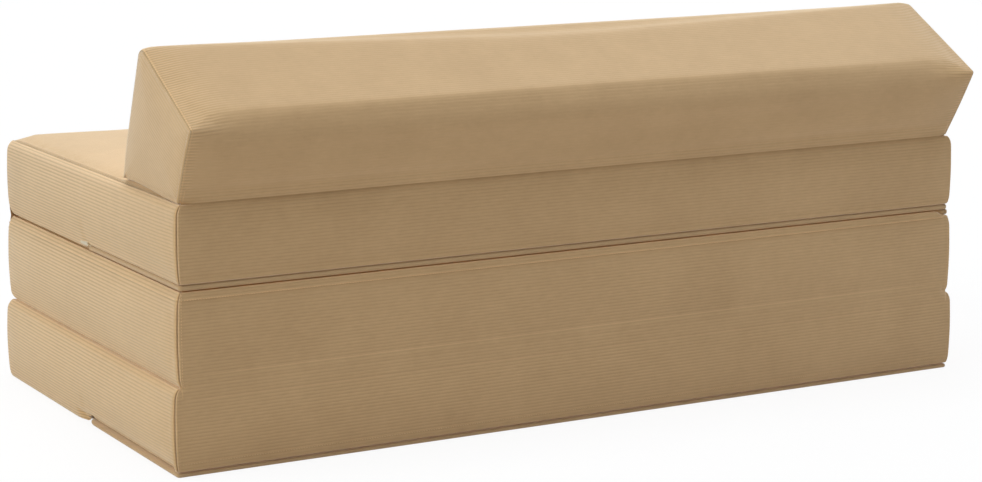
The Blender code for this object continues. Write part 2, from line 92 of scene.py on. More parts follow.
# Sewn shape of the sections
EDGE_DRAW = 8 * MM
REAR_SHARE = 0.5
EDGE_RUN = 14 * MM
CORNER = 6.5 * MM
END_SWELL = 4 * MM
FACE_SWELL = 2 * MM
LONG_SHARE = 0.25
# Distance from a seam of the painted highlight line, a lighter colour where a seam's ridge would catch the
# light
HIGHLIGHT_FROM_SEAM = 2.4 * MM
CORNER_SWELL = {"base": 3.0 * MM, "middle": 3.2 * MM, "seat": 2.6 * MM}
END_REACH = {"base": 6.0 * MM, "middle": 0.0 * MM, "seat": -1.5 * MM}
SEAT_CROWN = 8 * MM
SEAT_PUFF = 11 * MM
FOOT_PUFF = 7.5 * MM
FOAM_FLOOR = 12.8 * MM
SAMPLES_PER_RIB = 4
FAR = 1.0

# Stuffing: cloth simulation of a coarse copy of each cushion
STUFFING_VOXEL = 8 * MM
STUFFING_PRESSURE = 4.0
STUFFING_FRAMES = 20
STUFFING_CAP = 3.5 * MM
SEAM_HOLD = 14 * MM
PLAIN_HOLD = 9 * MM

# Swollen top of the seat, and the ends of the backrest's foot that rest on it
SEAT_RUNS = {"side": 26 * MM, "front": 42 * MM, "foot": 40 * MM, "end": 13 * MM}
FOOT_CLEAR = 9 * MM
FOOT_END = 550 * MM
FOOT_TIP = 584 * MM
FOOT_FRONT = 124 * MM

# Places and runs along the zipped edge: where the zip comes into view, and what the slider needs
ZIP_START, ZIP_START_RUN = -12 * MM, 16 * MM
CHANNEL_START, CHANNEL_START_RUN = -34 * MM, 20 * MM
CHANNEL_END, CHANNEL_END_RUN = 312 * MM, 16 * MM
PULL_WIDTH = 15 * MM
PAST_CORNER_RUN = 14 * MM

# Relief of seams and dents on a section: depth, height above the zipped face and width
PULL_DENT = (2.0 * MM, 7.0 * MM, 8 * MM)
SLIDER_GROOVE = (1.2 * MM, 10.0 * MM, 7 * MM)
TURNED_RIDGES = ((1.1 * MM, 10.5 * MM, 0.9 * MM), (0.5 * MM, 17.0 * MM, 0.9 * MM))
SEAM_RIDGE = (0.9 * MM, 2.2 * MM, 1.0 * MM)
SEAM_GROOVE = (1.7 * MM, 0.0, 0.8 * MM)
PLAIN_SEAM_DEPTH = 1.0 * MM
STITCH_FROM_SEAM = 4.6 * MM
STITCH_CLEAR, STITCH_CLEAR_FLIPPED = 5 * MM, 22 * MM

# Lower edge of a cover: draw, height and run of its rounding, where the zip shows, where it shows
# on the floor, and where the cover hangs over it
OPEN_RIM = (3.2 * MM, 8.4 * MM, 17 * MM)
FLOOR_RIM = (3.2 * MM, 7.2 * MM, 17 * MM)
COVERED_RIM = {"base": (3.0 * MM, 0.7 * MM, 14 * MM)}
COVERED_RIM["middle"] = COVERED_RIM["seat"] = (6.5 * MM, 1.0 * MM, 22 * MM)
PULL_PLACE = -9.5 * MM

# Backrest profile in Y and Z: rear foot, shoulder, crest and front foot
BACKREST_REAR = REAR - EDGE_DRAW * REAR_SHARE
SEAT_TOP = 345 * MM
BACKREST_POINTS = (
    (BACKREST_REAR, SEAT_TOP),
    (BACKREST_REAR + 56.5 * MM, SEAT_TOP + 98.7 * MM),
    (BACKREST_REAR - 118 * MM, SEAT_TOP + 193.5 * MM),
    (BACKREST_REAR - 180 * MM, SEAT_TOP),
)
BACKREST_SEAM_POINTS = (
    (BACKREST_REAR - 4 * MM, SEAT_TOP),
    (BACKREST_REAR + 51 * MM, SEAT_TOP + 98 * MM),
    (BACKREST_REAR - 112 * MM, SEAT_TOP + 192 * MM),
    (BACKREST_REAR - 187.5 * MM, SEAT_TOP),
)
SHOULDER_RADIUS = 34 * MM
CREST_RADIUS = 18 * MM
SEAM_SHOULDER_RADIUS = 4 * MM
FOOT_RIM = 0.8 * MM
FOOT_DRAW = 3.5 * MM
FOOT_TAPER = 70 * MM
REST_SIDE = SIDE - 4 * MM
REST_END_RUN = 26 * MM
END_SEAM_DEPTH = 0.9 * MM
REAR_SEAM_DEPTH = 2.0 * MM
CRISP_RUN = 70 * MM
END_DEPTH = 75 * MM
REAR_PLAIN_RUN = 22 * MM
FLOOR_STEPS = 10

# Closing panel's outline, in millimetres: draw and height, from its flat face over its lip to its back
LIP = ((40.0, 0.0), (14.0, 0.0), (6.2, 0.0), (4.2, 0.3), (3.1, 1.1), (2.7, 2.4), (2.7, 4.6),
       (3.1, 6.0), (4.1, 6.9), (6.5, 7.2), (12.2, 7.2), (12.4, 12.6), (30.0, 12.7))
LIP_BACK = 12.0
LIP_PRESSED = 0.74

# Stitches and coils, and their heights from the zipped face
STITCH_HEIGHT = {"base": 17 * MM, "middle": 10.5 * MM, "seat": 17 * MM}
STITCH_SIZE = (2.5 * MM, 0.8 * MM, 0.7 * MM)
STITCH_LIFT = 0.15 * MM
COIL_HEIGHT = 9.5 * MM
COIL_OUT = 0.3 * MM
COIL_SIZE = (1.25 * MM, 1.3 * MM, 4.6 * MM)
TAPE_DRAW = 5 * MM
WELT_DRAW = 6.5 * MM

# Seam at an upright corner: steps from its line, in millimetres
SEAM_REACH = 6.2832
SEAM_HALF = (0.4, 0.8, 1.3, 1.9, 2.6, 3.4, 4.6, 6.28)
SEAM_STEPS = (*(-step for step in SEAM_HALF[::-1]), 0.0, *SEAM_HALF)

# Outlines of tape and welt in millimetres: outward distance and height
TAPE_OUTLINE = ((0.0, 6.4), (0.0, 12.6), (-3.0, 12.6), (-3.0, 6.4))
WELT_OUTLINE = [(3.2 * math.sin(a), 9.55 - 2.9 * math.cos(a)) for a in np.linspace(0, math.pi, 9)]
WELT_OUTLINE += [(-3.0, 12.4), (-3.0, 6.7)]

# Fabric hinges: the two cushions that each joins, and the depth of its crease
HINGES = (
    ("lower_hinge", "base", "middle", 0.4 * MM),
    ("upper_hinge", "middle", "seat", 0.8 * MM),
    ("backrest_hinge", "seat", "backrest", 1.3 * MM),
)

# Strips of those hinges: ends short of the cushions' sides, and faces off the cushions' surface
STRIP_INSET, STRIP_INSET_WEDGE = 3 * MM, 11 * MM
STRIP_PROUD = 1.3 * MM
STRIP_LIFT = 0.62 * MM
STRIP_SUNK = 0.42 * MM
STRIP_BACK = 1.2 * MM

# Camera, and each lamp's heading, setting, spread in degrees and colour
CAMERA_PLACE = (1.7921, 3.2174, 0.8900)
CAMERA_YAW = 0.5117
CAMERA_PITCH = 0.1868
WHITE = (1.0, 1.0, 1.0, 1.0)
FLOOR_SIZE = 60.0
FLOOR_GLOW = 1.06
FLOOR_GLOW_SHARE = 0.8
LAMPS = (
    ("top_lamp", (0.05, 0.15, 1.0), "key", 60.0, (0.945, 1.02, 1.11)),
    ("side_lamp", (0.90, -0.28, 0.40), "side", 50.0, (0.99, 1.0, 0.87)),
    ("rim_lamp", (-0.45, -0.75, 0.50), "rim", 50.0, (1.06, 1.0, 0.95)),
    ("fill_lamp", (0.15, 0.90, 0.10), "fill", 60.0, (1.0, 0.98, 0.94)),
)


def length_field(name, description, default, least=0.0):
    return bpy.props.FloatProperty(
        name=name, description=description, default=default, min=least, unit="LENGTH")


def amount_field(name, description, default, least=0.0):
    return bpy.props.FloatProperty(name=name, description=description, default=default, min=least)


def colour_field(name, description, default):
    return bpy.props.FloatVectorProperty(
        name=name, description=description, default=default, size=3, min=0.0, max=1.0, subtype="COLOR")


class ClothSettings(bpy.types.PropertyGroup):
    """Ribbed cloth of the covers."""
    rib_pitch: length_field("Rib pitch", "Distance from one rib to the next", 4.4 * MM, 2 * MM)
    rib_height: length_field("Rib height", "Relief from groove to crest of a rib", 0.35 * MM)
    ripple: length_field("Ripple", "Unevenness of the stretched cloth", 0.8 * MM)
    colour: colour_field("Cloth", "Colour of the ribs' crests", (0.672, 0.439, 0.222))
    # The groove colour is partly the cloth's darker ground and partly painted shade between the ribs.
    groove: colour_field("Groove", "Colour between the ribs", (0.494, 0.302, 0.140))


class TrimSettings(bpy.types.PropertyGroup):
    """Zips, stitches and metal parts."""
    tooth_pitch: length_field("Tooth pitch", "Distance between the coils of a zip", 1.9 * MM, 1 * MM)
    stitch_pitch: length_field("Stitch pitch", "Distance between the stitches of a seam", 3.6 * MM, 2 * MM)
    thread: colour_field("Thread", "Colour of the sewing thread", (0.70, 0.48, 0.26))
    tape: colour_field("Zip tape", "Colour of the zip's tape and coils", (0.70, 0.48, 0.26))
    light_metal: colour_field("Light metal", "Colour of the upper sliders", (0.78, 0.68, 0.50))
    dark_metal: colour_field("Dark metal", "Colour of the base slider", (0.24, 0.17, 0.11))


class StudioSettings(bpy.types.PropertyGroup):
    """Camera, light and floor."""
    lens: amount_field("Lens", "Focal length on a 36 mm sensor", 94.8, 10.0)
    key: amount_field("Top light", "Strength of the large lamp overhead", 2.1)
    side: amount_field("Side light", "Strength of the lamp beside the near end", 1.42)
    rim: amount_field("Rim light", "Strength of the lamp ahead of the seat", 2.1)
    fill: amount_field("Fill light", "Strength of the low lamp behind the backrest", 0.20)
    ambient: amount_field("Ambient light", "Strength of the light from all round", 0.05)
    floor: colour_field("Floor", "Colour of the floor", (0.60, 0.60, 0.60))


class Socket:
    """Output of a node; arithmetic on it adds Math nodes to its graph."""

    def __init__(self, graph, output):
        self.graph = graph
        self.output = output

    def __add__(self, other):
        return self.graph.math("ADD", self, other)

    def __radd__(self, other):
        return self.graph.math("ADD", other, self)

    def __sub__(self, other):
        return self.graph.math("SUBTRACT", self, other)

    def __rsub__(self, other):
        return self.graph.math("SUBTRACT", other, self)

    def __mul__(self, other):
        return self.graph.math("MULTIPLY", self, other)

    def __truediv__(self, other):
        return self.graph.math("DIVIDE", self, other)

    def __pow__(self, other):
        return self.graph.math("POWER", self, other)


class Graph:
    """Node tree of a material or of a geometry modifier."""

    def __init__(self, tree):
        self.tree = tree

    def node(self, kind, settings=None, values=None):
        made = self.tree.nodes.new(kind)
        for key, value in (settings or {}).items():
            setattr(made, key, value)
        for key, value in (values or {}).items():
            if isinstance(value, Socket):
                self.tree.links.new(value.output, made.inputs[key])
            else:
                made.inputs[key].default_value = value
        return made

    def out(self, kind, settings=None, values=None, key=0):
        return Socket(self, self.node(kind, settings, values).outputs[key])

    def math(self, operation, first, second=0.0):
        return self.out("ShaderNodeMath", {"operation": operation}, {0: first, 1: second})

    def limit(self, value, low, high):
        return self.math("MINIMUM", self.math("MAXIMUM", value, low), high)

    def mix(self, factor, first, second):
        return self.out("ShaderNodeMix", {"data_type": "RGBA"}, {0: factor, 6: first, 7: second}, 2)

    def scaled(self, vector, scale):
        return self.out("ShaderNodeVectorMath", {"operation": "SCALE"}, {"Vector": vector, "Scale": scale})

    def moved(self, geometry, vector, scale):
        """Geometry with its points moved by a scaled vector."""
        return self.out("GeometryNodeSetPosition", None, {
            "Geometry": geometry, "Offset": self.scaled(vector, scale)})

    def named(self, name, kind="FLOAT"):
        return self.out("GeometryNodeInputNamedAttribute", {"data_type": kind}, {"Name": name})

    def noise(self, place, scale, detail=2.0, roughness=0.5):
        values = {"Vector": place, "Scale": scale, "Detail": detail, "Roughness": roughness}
        return self.out("ShaderNodeTexNoise", None, values)

    def attribute(self, name):
        return self.out("ShaderNodeAttribute", {"attribute_name": name}, key="Fac")

    def finish(self, shader, colour, rough, bump, fixed):
        """Feed a shader its colour, roughness and bump, and set its fixed values."""
        strength, distance, height = bump
        normal = self.out("ShaderNodeBump", None, {
            "Strength": strength, "Distance": distance, "Height": height})
        for key, socket in (("Base Color", colour), ("Roughness", rough), ("Normal", normal)):
            self.tree.links.new(socket.output, shader.inputs[key])
        for key, value in fixed.items():
            shader.inputs[key].default_value = value


def rgba(colour, scale=1.0):
    return (*(channel * scale for channel in colour), 1.0)


def material(name):
    return bpy.data.materials[name]


def new_material(name):
    """A material with only a Principled shader, and its graph."""
    made = bpy.data.materials.new(name)
    made.use_nodes = True
    return made, Graph(made.node_tree), made.node_tree.nodes["Principled BSDF"]


def ribbed_cloth(name, cloth):
    """Fine corduroy: piled ribs with darker grooves, partly the cloth's ground and partly painted shade,
    painted shade along the seams with a painted highlight line beside them, fibres along the ribs and soft
    blotches.
    """
    made, graph, shader = new_material(name)
    place = graph.out("ShaderNodeTexCoord", key="Object")
    rib, seam, deep = (graph.attribute(key) for key in ("rib", "seam", "deep"))
    wander = graph.noise(place, 26.0, 2.0) - 0.5
    turn = (rib / cloth.rib_pitch + wander * 0.10) * (2 * math.pi)
    groove = (graph.math("COSINE", turn) * 0.5 + 0.5) ** 2.2
    blotch = graph.noise(place, 11.0, 4.0, 0.62)
    patch = graph.noise(place, 60.0, 3.0, 0.6)
    axes = graph.node("ShaderNodeSeparateXYZ", None, {0: place})
    x, y = (Socket(graph, axes.outputs[axis]) for axis in range(2))
    combed = graph.out("ShaderNodeCombineXYZ", None, {0: x * 70.0, 1: y * 70.0, 2: rib * 420.0})
    fibre = graph.noise(combed, 1.0, 3.0, 0.6)
    grain = graph.noise(place, 900.0, 2.0, 0.6)
    tone = (blotch - 0.5) * 0.9 + (patch - 0.5) * 0.35 + (fibre - 0.5) * 0.55 + (grain - 0.5) * 0.25
    # Painted shade in the grooves: how far the colour darkens towards the groove colour grows with the
    # per-point rib strength.
    depth = graph.math("MAXIMUM", deep * 0.75 + 0.24, 0.03)
    dark = graph.limit((groove - 0.45) * depth + 0.48 - tone * 0.7, 0.0, 1.0)
    # Painted shade along the seams: within 1 mm of a seam the colour darkens towards a deeper groove
    # colour, in place of the seam's shadow.
    from_seam = seam * (1 / MM)
    seam_shade = graph.math("MINIMUM", from_seam, 1.0)
    # Painted highlight: a lighter line about 2.4 mm off a seam, where the seam's ridge would catch the
    # light.
    off_line = graph.math("ABSOLUTE", from_seam - HIGHLIGHT_FROM_SEAM / MM)
    highlight_share = graph.math("MAXIMUM", 1.0 - off_line * 0.9, 0.0) * 0.38
    colour = graph.mix(dark, rgba(cloth.colour, 1.05), rgba(cloth.groove))
    painted_highlight = graph.mix(highlight_share, colour, rgba(cloth.colour, 1.25))
    edge = graph.mix(seam_shade, rgba(cloth.groove, 0.74), painted_highlight)
    rough = graph.math("MINIMUM", 0.86 + groove * 0.08 + (grain - 0.5) * 0.1, 1.0)
    flattened = graph.limit(deep + 1.0, 0.25, 1.0)
    pile = ((1.0 - groove) * 0.5 + (fibre - 0.5) * 0.35) * flattened + (grain - 0.5) * 0.5
    graph.finish(shader, edge, rough, (0.45, 0.35 * MM, pile), {
        "Sheen Weight": 0.85, "Sheen Roughness": 0.5, "Sheen Tint": (1.0, 0.94, 0.82, 1.0),
        "Specular IOR Level": 0.1})
    return made


def woven_cloth(name, colour, pitch, sheen):
    """Plain weave: warp and weft a fixed pitch apart, with uneven yarns."""
    made, graph, shader = new_material(name)
    place = graph.out("ShaderNodeTexCoord", key="Object")
    axes = graph.node("ShaderNodeSeparateXYZ", None, {0: place})
    waves = [graph.math("SINE", Socket(graph, axes.outputs[axis]) * (2 * math.pi / pitch))
             for axis in range(3)]
    weave = (waves[0] * waves[1] + waves[1] * waves[2] + waves[2] * waves[0]) * 0.3 + 0.5
    blotch = graph.noise(place, 25.0, 4.0, 0.6)
    grain = graph.noise(place, 700.0, 2.0, 0.6)
    tone = weave * 0.35 + (blotch - 0.5) * 0.6 + (grain - 0.5) * 0.5 + 0.3
    shade = graph.mix(graph.limit(tone, 0.0, 1.0), rgba(colour, 0.78), rgba(colour, 1.08))
    rough = graph.math("MINIMUM", 0.84 + grain * 0.14, 1.0)
    graph.finish(shader, shade, rough, (0.4, 0.3 * MM, weave + grain * 0.5), {
        "Sheen Weight": sheen, "Sheen Roughness": 0.5, "Specular IOR Level": 0.2})
    return made


def cast_metal(name, colour):
    """Tumbled cast metal, duller where it has been handled."""
    made, graph, shader = new_material(name)
    place = graph.out("ShaderNodeTexCoord", key="Object")
    worn = graph.noise(place, 260.0, 4.0, 0.65)
    grain = graph.noise(place, 1800.0, 2.0)
    tint = graph.mix(worn, rgba(colour, 0.85), rgba(colour, 1.1))
    graph.finish(shader, tint, 0.24 + worn * 0.22, (0.15, 0.1 * MM, grain), {"Metallic": 1.0})
    return made


class Shape:
    """Points and faces of one piece, with what its cloth needs to know at each point."""

    def __init__(self):
        self.count = 0
        self.points = []
        self.stitches = []
        self.values = {"rib": [], "seam": [], "lift": [], "deep": []}
        self.faces = []

    def add(self, points, rib=0.0, seam=FAR, lift=0.0, deep=0.0):
        size = len(points)
        self.points.append(np.asarray(points, float))
        for key, value in (("rib", rib), ("seam", seam), ("lift", lift), ("deep", deep)):
            self.values[key].append(np.broadcast_to(np.asarray(value, float), (size,)))
        first = self.count
        self.count += size
        return np.arange(first, self.count)

    def grid(self, rows, closed=True):
        """Quads between rows of equal length."""
        for lower, upper in zip(rows, rows[1:]):
            if closed:
                quads = (lower, np.roll(lower, -1), np.roll(upper, -1), upper)
            else:
                quads = (lower[:-1], lower[1:], upper[1:], upper[:-1])
            self.faces.extend(np.stack(quads, 1).tolist())

    def cap(self, ring):
        self.faces.append(list(map(int, ring)))

    def stitch(self, outer, inner, outer_flat, inner_flat):
        """Triangles between two loops of different counts, one inside the other."""
        centre = (inner_flat.min(0) + inner_flat.max(0)) / 2
        loops = []
        for ring, flat in ((outer, outer_flat), (inner, inner_flat)):
            angle = np.mod(np.arctan2(*(flat - centre).T[::-1]), 2 * math.pi)
            first = int(np.argmin(angle))
            turned = np.roll(angle, -first)
            loops.append((np.roll(ring, -first).tolist(), [*turned, turned[0] + 2 * math.pi]))
        (outer_ring, outer_turn), (inner_ring, inner_turn) = loops
        i = j = 0
        while i < len(outer_ring) or j < len(inner_ring):
            here = outer_ring[i % len(outer_ring)]
            there = inner_ring[j % len(inner_ring)]
            ahead = outer_turn[i + 1] if i < len(outer_ring) else math.inf
            across = inner_turn[j + 1] if j < len(inner_ring) else math.inf
            if ahead <= across:
                i += 1
                self.faces.append([here, outer_ring[i % len(outer_ring)], there])
            else:
                j += 1
                self.faces.append([here, inner_ring[j % len(inner_ring)], there])

    def mesh(self, name):
        points = np.concatenate(self.points)
        mesh = bpy.data.meshes.new(name)
        mesh.from_pydata(points.tolist(), [], self.faces)
        for key, parts in self.values.items():
            attribute = mesh.attributes.new(key, "FLOAT", "POINT")
            attribute.data.foreach_set("value", np.concatenate(parts).astype(np.float32))
        work = bmesh.new()
        work.from_mesh(mesh)
        bmesh.ops.recalc_face_normals(work, faces=work.faces)
        work.to_mesh(mesh)
        work.free()
        return mesh


def new_object(name, mesh, finish, rounded=True):
    """Object at the origin that shows one mesh."""
    made = bpy.data.objects.new(name, mesh)
    bpy.context.scene.collection.objects.link(made)
    if finish is not None:
        mesh.materials.append(finish)
    if rounded:
        mesh.shade_smooth()
    return made


def baked(made, tree, values):
    """The object's mesh after a geometry tree, with the modifier gone."""
    modifier = made.modifiers.new(tree.name, "NODES")
    modifier.node_group = tree
    for item in tree.interface.items_tree:
        if item.item_type == "SOCKET" and item.in_out == "INPUT" and item.name in values:
            modifier[item.identifier] = values[item.name]
    graph = bpy.context.evaluated_depsgraph_get()
    mesh = bpy.data.meshes.new_from_object(made.evaluated_get(graph))
    made.modifiers.clear()
    made.data = mesh
    mesh.name = made.name
    mesh.shade_smooth()
    return made


def geometry_tree(name, inputs):
    """Empty geometry tree with named inputs, and its graph and group input."""
    tree = bpy.data.node_groups.new(name, "GeometryNodeTree")
    tree.interface.new_socket("Geometry", in_out="INPUT", socket_type="NodeSocketGeometry")
    for label, kind, default in inputs:
        socket = tree.interface.new_socket(label, in_out="INPUT", socket_type=f"NodeSocket{kind}")
        if default is not None:
            socket.default_value = default
    tree.interface.new_socket("Geometry", in_out="OUTPUT", socket_type="NodeSocketGeometry")
    graph = Graph(tree)
    entry = graph.node("NodeGroupInput")
    return tree, graph, {output.name: Socket(graph, output) for output in entry.outputs if output.name}


def finish_tree(graph, geometry, finish):
    """End of a geometry tree: real geometry with its material."""
    real = graph.out("GeometryNodeRealizeInstances", None, {0: geometry})
    coated = graph.out("GeometryNodeSetMaterial", None, {"Geometry": real, "Material": finish})
    graph.node("NodeGroupOutput", None, {0: coated})


def relief_tree():
    """Raises ribs, seams and a slight unevenness on a cover, along its normals."""
    tree, graph, entry = geometry_tree("ribbed_relief", (
        ("Rib Pitch", "Float", 4.4 * MM),
        ("Rib Height", "Float", 0.35 * MM),
        ("Seam Fade", "Float", 3 * MM),
        ("Ripple", "Float", 0.8 * MM),
        ("Ripple Scale", "Float", 9.0),
        ("Seed", "Float", 4.0),
        ("Material", "Material", None),
    ))
    rib, seam, lift, deep = (graph.named(key) for key in ("rib", "seam", "lift", "deep"))
    turn = rib / entry["Rib Pitch"] * math.pi
    crest = graph.math("ABSOLUTE", graph.math("SINE", turn)) ** 0.7
    fade = graph.math("MINIMUM", seam / entry["Seam Fade"], 1.0)
    place = graph.out("GeometryNodeInputPosition")
    noise = graph.out("ShaderNodeTexNoise", {"noise_dimensions": "4D"}, {
        "Vector": place, "W": entry["Seed"], "Scale": entry["Ripple Scale"], "Detail": 1.5})
    height = (crest - 0.5) * entry["Rib Height"] * (deep * 0.6 + 0.8) * fade + lift
    height = height + (noise - 0.5) * entry["Ripple"] * fade
    normal = graph.out("GeometryNodeInputNormal")
    finish_tree(graph, graph.moved(entry["Geometry"], normal, height), entry["Material"])
    return tree


def bead_tree():
    """Oval beads, such as stitches or the coils of a zip, at even steps along a line."""
    tree, graph, entry = geometry_tree("sewn_beads", (
        ("Pitch", "Float", 3.6 * MM),
        ("Size", "Vector", (1.0, 1.0, 1.0)),
        ("Up", "Vector", (0.0, 0.0, 1.0)),
        ("Material", "Material", None),
    ))
    line = graph.out("GeometryNodeMeshToCurve", None, {0: entry["Geometry"]})
    even = graph.out("GeometryNodeResampleCurve", {"mode": "LENGTH"}, {
        "Curve": line, "Length": entry["Pitch"]})
    tangent = graph.out("GeometryNodeInputTangent")
    along = graph.out("FunctionNodeAlignRotationToVector", {"axis": "X"}, {"Vector": tangent})
    upright = graph.out("FunctionNodeAlignRotationToVector", {"axis": "Z", "pivot_axis": "X"}, {
        "Rotation": along, "Vector": entry["Up"]})
    bead = graph.out("GeometryNodeMeshUVSphere", None, {"Segments": 6, "Rings": 4, "Radius": 0.5})
    rounded = graph.out("GeometryNodeSetShadeSmooth", None, {"Geometry": bead})
    copies = graph.out("GeometryNodeInstanceOnPoints", None, {
        "Points": even, "Instance": rounded, "Rotation": upright, "Scale": entry["Size"]})
    finish_tree(graph, copies, entry["Material"])
    return tree


def beads(name, paths, size, pitch, finish):
    """Beads along one or more open lines of points."""
    mesh = bpy.data.meshes.new(name)
    points = []
    edges = []
    for path in paths:
        first = len(points)
        points.extend(tuple(point) for point in path)
        edges.extend((first + i, first + i + 1) for i in range(len(path) - 1))
    mesh.from_pydata(points, edges, [])
    made = new_object(name, mesh, None, rounded=False)
    tree = bpy.data.node_groups.get("sewn_beads") or bead_tree()
    return baked(made, tree, {"Pitch": pitch, "Size": size, "Material": material(finish)})


def follow_tree():
    """Moves a fine cushion as the nearest part of its simulated copy moved."""
    tree, graph, entry = geometry_tree("follow_stuffing", (
        ("Copy", "Object", None), ("Strength", "Float", 1.0), ("Material", "Material", None)))
    copy = graph.out("GeometryNodeObjectInfo", {"transform_space": "ORIGINAL"}, {
        "Object": entry["Copy"]}, "Geometry")
    near = graph.out("GeometryNodeSampleNearestSurface", {"data_type": "FLOAT_VECTOR"}, {
        "Mesh": copy, "Value": graph.named("settle", "FLOAT_VECTOR")})
    finish_tree(graph, graph.moved(entry["Geometry"], near, entry["Strength"]), entry["Material"])
    return tree


def stuffed(made, free):
    """Inflate a coarse copy as cloth that is held at its seams, and let the cushion follow it."""
    copy = new_object(f"{made.name}_copy", made.data.copy(), None, rounded=False)
    remesh = copy.modifiers.new("even", "REMESH")
    remesh.mode = "VOXEL"
    remesh.voxel_size = STUFFING_VOXEL
    graph = bpy.context.evaluated_depsgraph_get()
    copy.data = bpy.data.meshes.new_from_object(copy.evaluated_get(graph))
    copy.modifiers.clear()
    rest = np.empty(len(copy.data.vertices) * 3, np.float32)
    copy.data.vertices.foreach_get("co", rest)
    rest = rest.reshape(-1, 3)
    loose = free(rest.astype(float))
    held = copy.vertex_groups.new(name="held")
    held.add(np.flatnonzero(~loose).tolist(), 1.0, "REPLACE")
    cloth = copy.modifiers.new("stuffing", "CLOTH")
    cloth.settings.vertex_group_mass = "held"
    cloth.settings.use_pressure = True
    cloth.settings.uniform_pressure_force = STUFFING_PRESSURE
    cloth.settings.effector_weights.gravity = 0.0
    cloth.settings.quality = 4
    cloth.collision_settings.use_collision = False
    cloth.point_cache.frame_start = 1
    cloth.point_cache.frame_end = STUFFING_FRAMES
    scene = bpy.context.scene
    for frame_number in range(1, STUFFING_FRAMES + 1):
        scene.frame_set(frame_number)
    graph = bpy.context.evaluated_depsgraph_get()
    swollen = np.empty_like(rest).reshape(-1)
    copy.evaluated_get(graph).data.vertices.foreach_get("co", swollen)
    move = swollen.reshape(-1, 3) - rest
    length = np.linalg.norm(move, axis=1, keepdims=True) + 1e-9
    move *= STUFFING_CAP * np.tanh(length / STUFFING_CAP) / length
    copy.modifiers.clear()
    scene.frame_set(1)
    settle = copy.data.attributes.new("settle", "FLOAT_VECTOR", "POINT")
    settle.data.foreach_set("vector", move.astype(np.float32).reshape(-1))
    tree = bpy.data.node_groups.get("follow_stuffing") or follow_tree()
    baked(made, tree, {"Copy": copy, "Strength": 1.0, "Material": made.data.materials[0]})
    bpy.data.objects.remove(copy)


def stitched(name, made, lines, trim, thread="sewing_thread"):
    """Rows of stitches that lie on a cushion along lines of its points."""
    vertices = made.data.vertices
    place, normal = (np.empty(len(vertices) * 3, np.float32) for _ in range(2))
    vertices.foreach_get("co", place)
    made.data.vertex_normals.foreach_get("vector", normal)
    on_cloth = place.reshape(-1, 3) + normal.reshape(-1, 3) * STITCH_LIFT
    return beads(name, [on_cloth[line] for line in lines], STITCH_SIZE, trim.stitch_pitch, thread)


def dressed(name, shape, cloth, seed, ripple=1.0, free=None):
    """Piece of ribbed cloth from its smooth shape."""
    finish = material("ribbed_cloth")
    made = new_object(name, shape.mesh(name), finish)
    if free is not None:
        stuffed(made, free)
    tree = bpy.data.node_groups.get("ribbed_relief") or relief_tree()
    return baked(made, tree, {
        "Rib Pitch": cloth.rib_pitch, "Rib Height": cloth.rib_height,
        "Ripple": cloth.ripple * ripple, "Seed": seed, "Material": finish})


def belongs(made, body, slot, *replaced):
    """Let a piece move with its body in place of the solids that it stands for; its slot is not used."""
    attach(made, body)
    if replaced:
        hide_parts(*replaced)


def quarter(count):
    return np.linspace(0.0, math.pi / 2, count)


def smooth(share):
    """0 to 1 with level ends."""
    share = np.clip(share, 0, 1)
    return share * share * (3 - 2 * share)


def hump(value, centre, width):
    """1 at the centre, falling to 0 on either side."""
    return np.exp(-((value - centre) / width) ** 2)


def plump(distance, run):
    """Rounded rise of stuffed cloth at some distance inside its seam."""
    return 1 - (1 - np.clip(distance / run, 0, 1)) ** 2.5


def even_line(line, at):
    """Points of a bent line at given distances along it."""
    gaps = np.linalg.norm(np.diff(line, axis=0), axis=1)
    reach = np.concatenate(([0.0], np.cumsum(gaps)))
    return np.stack([np.interp(at(reach), reach, line[:, axis]) for axis in range(2)], 1), reach


def spread(length, fine=(2.5, 5.5, 10.0, 17.0), coarse=12 * MM):
    """Shares along a side: close together near its ends."""
    near = np.array(fine) * MM / length
    count = max(2, round((length - 2 * fine[-1] * MM) / coarse))
    middle = np.linspace(near[-1], 1 - near[-1], count + 1)
    return np.concatenate((near[:-1], middle, 1 - near[:-1][::-1]))


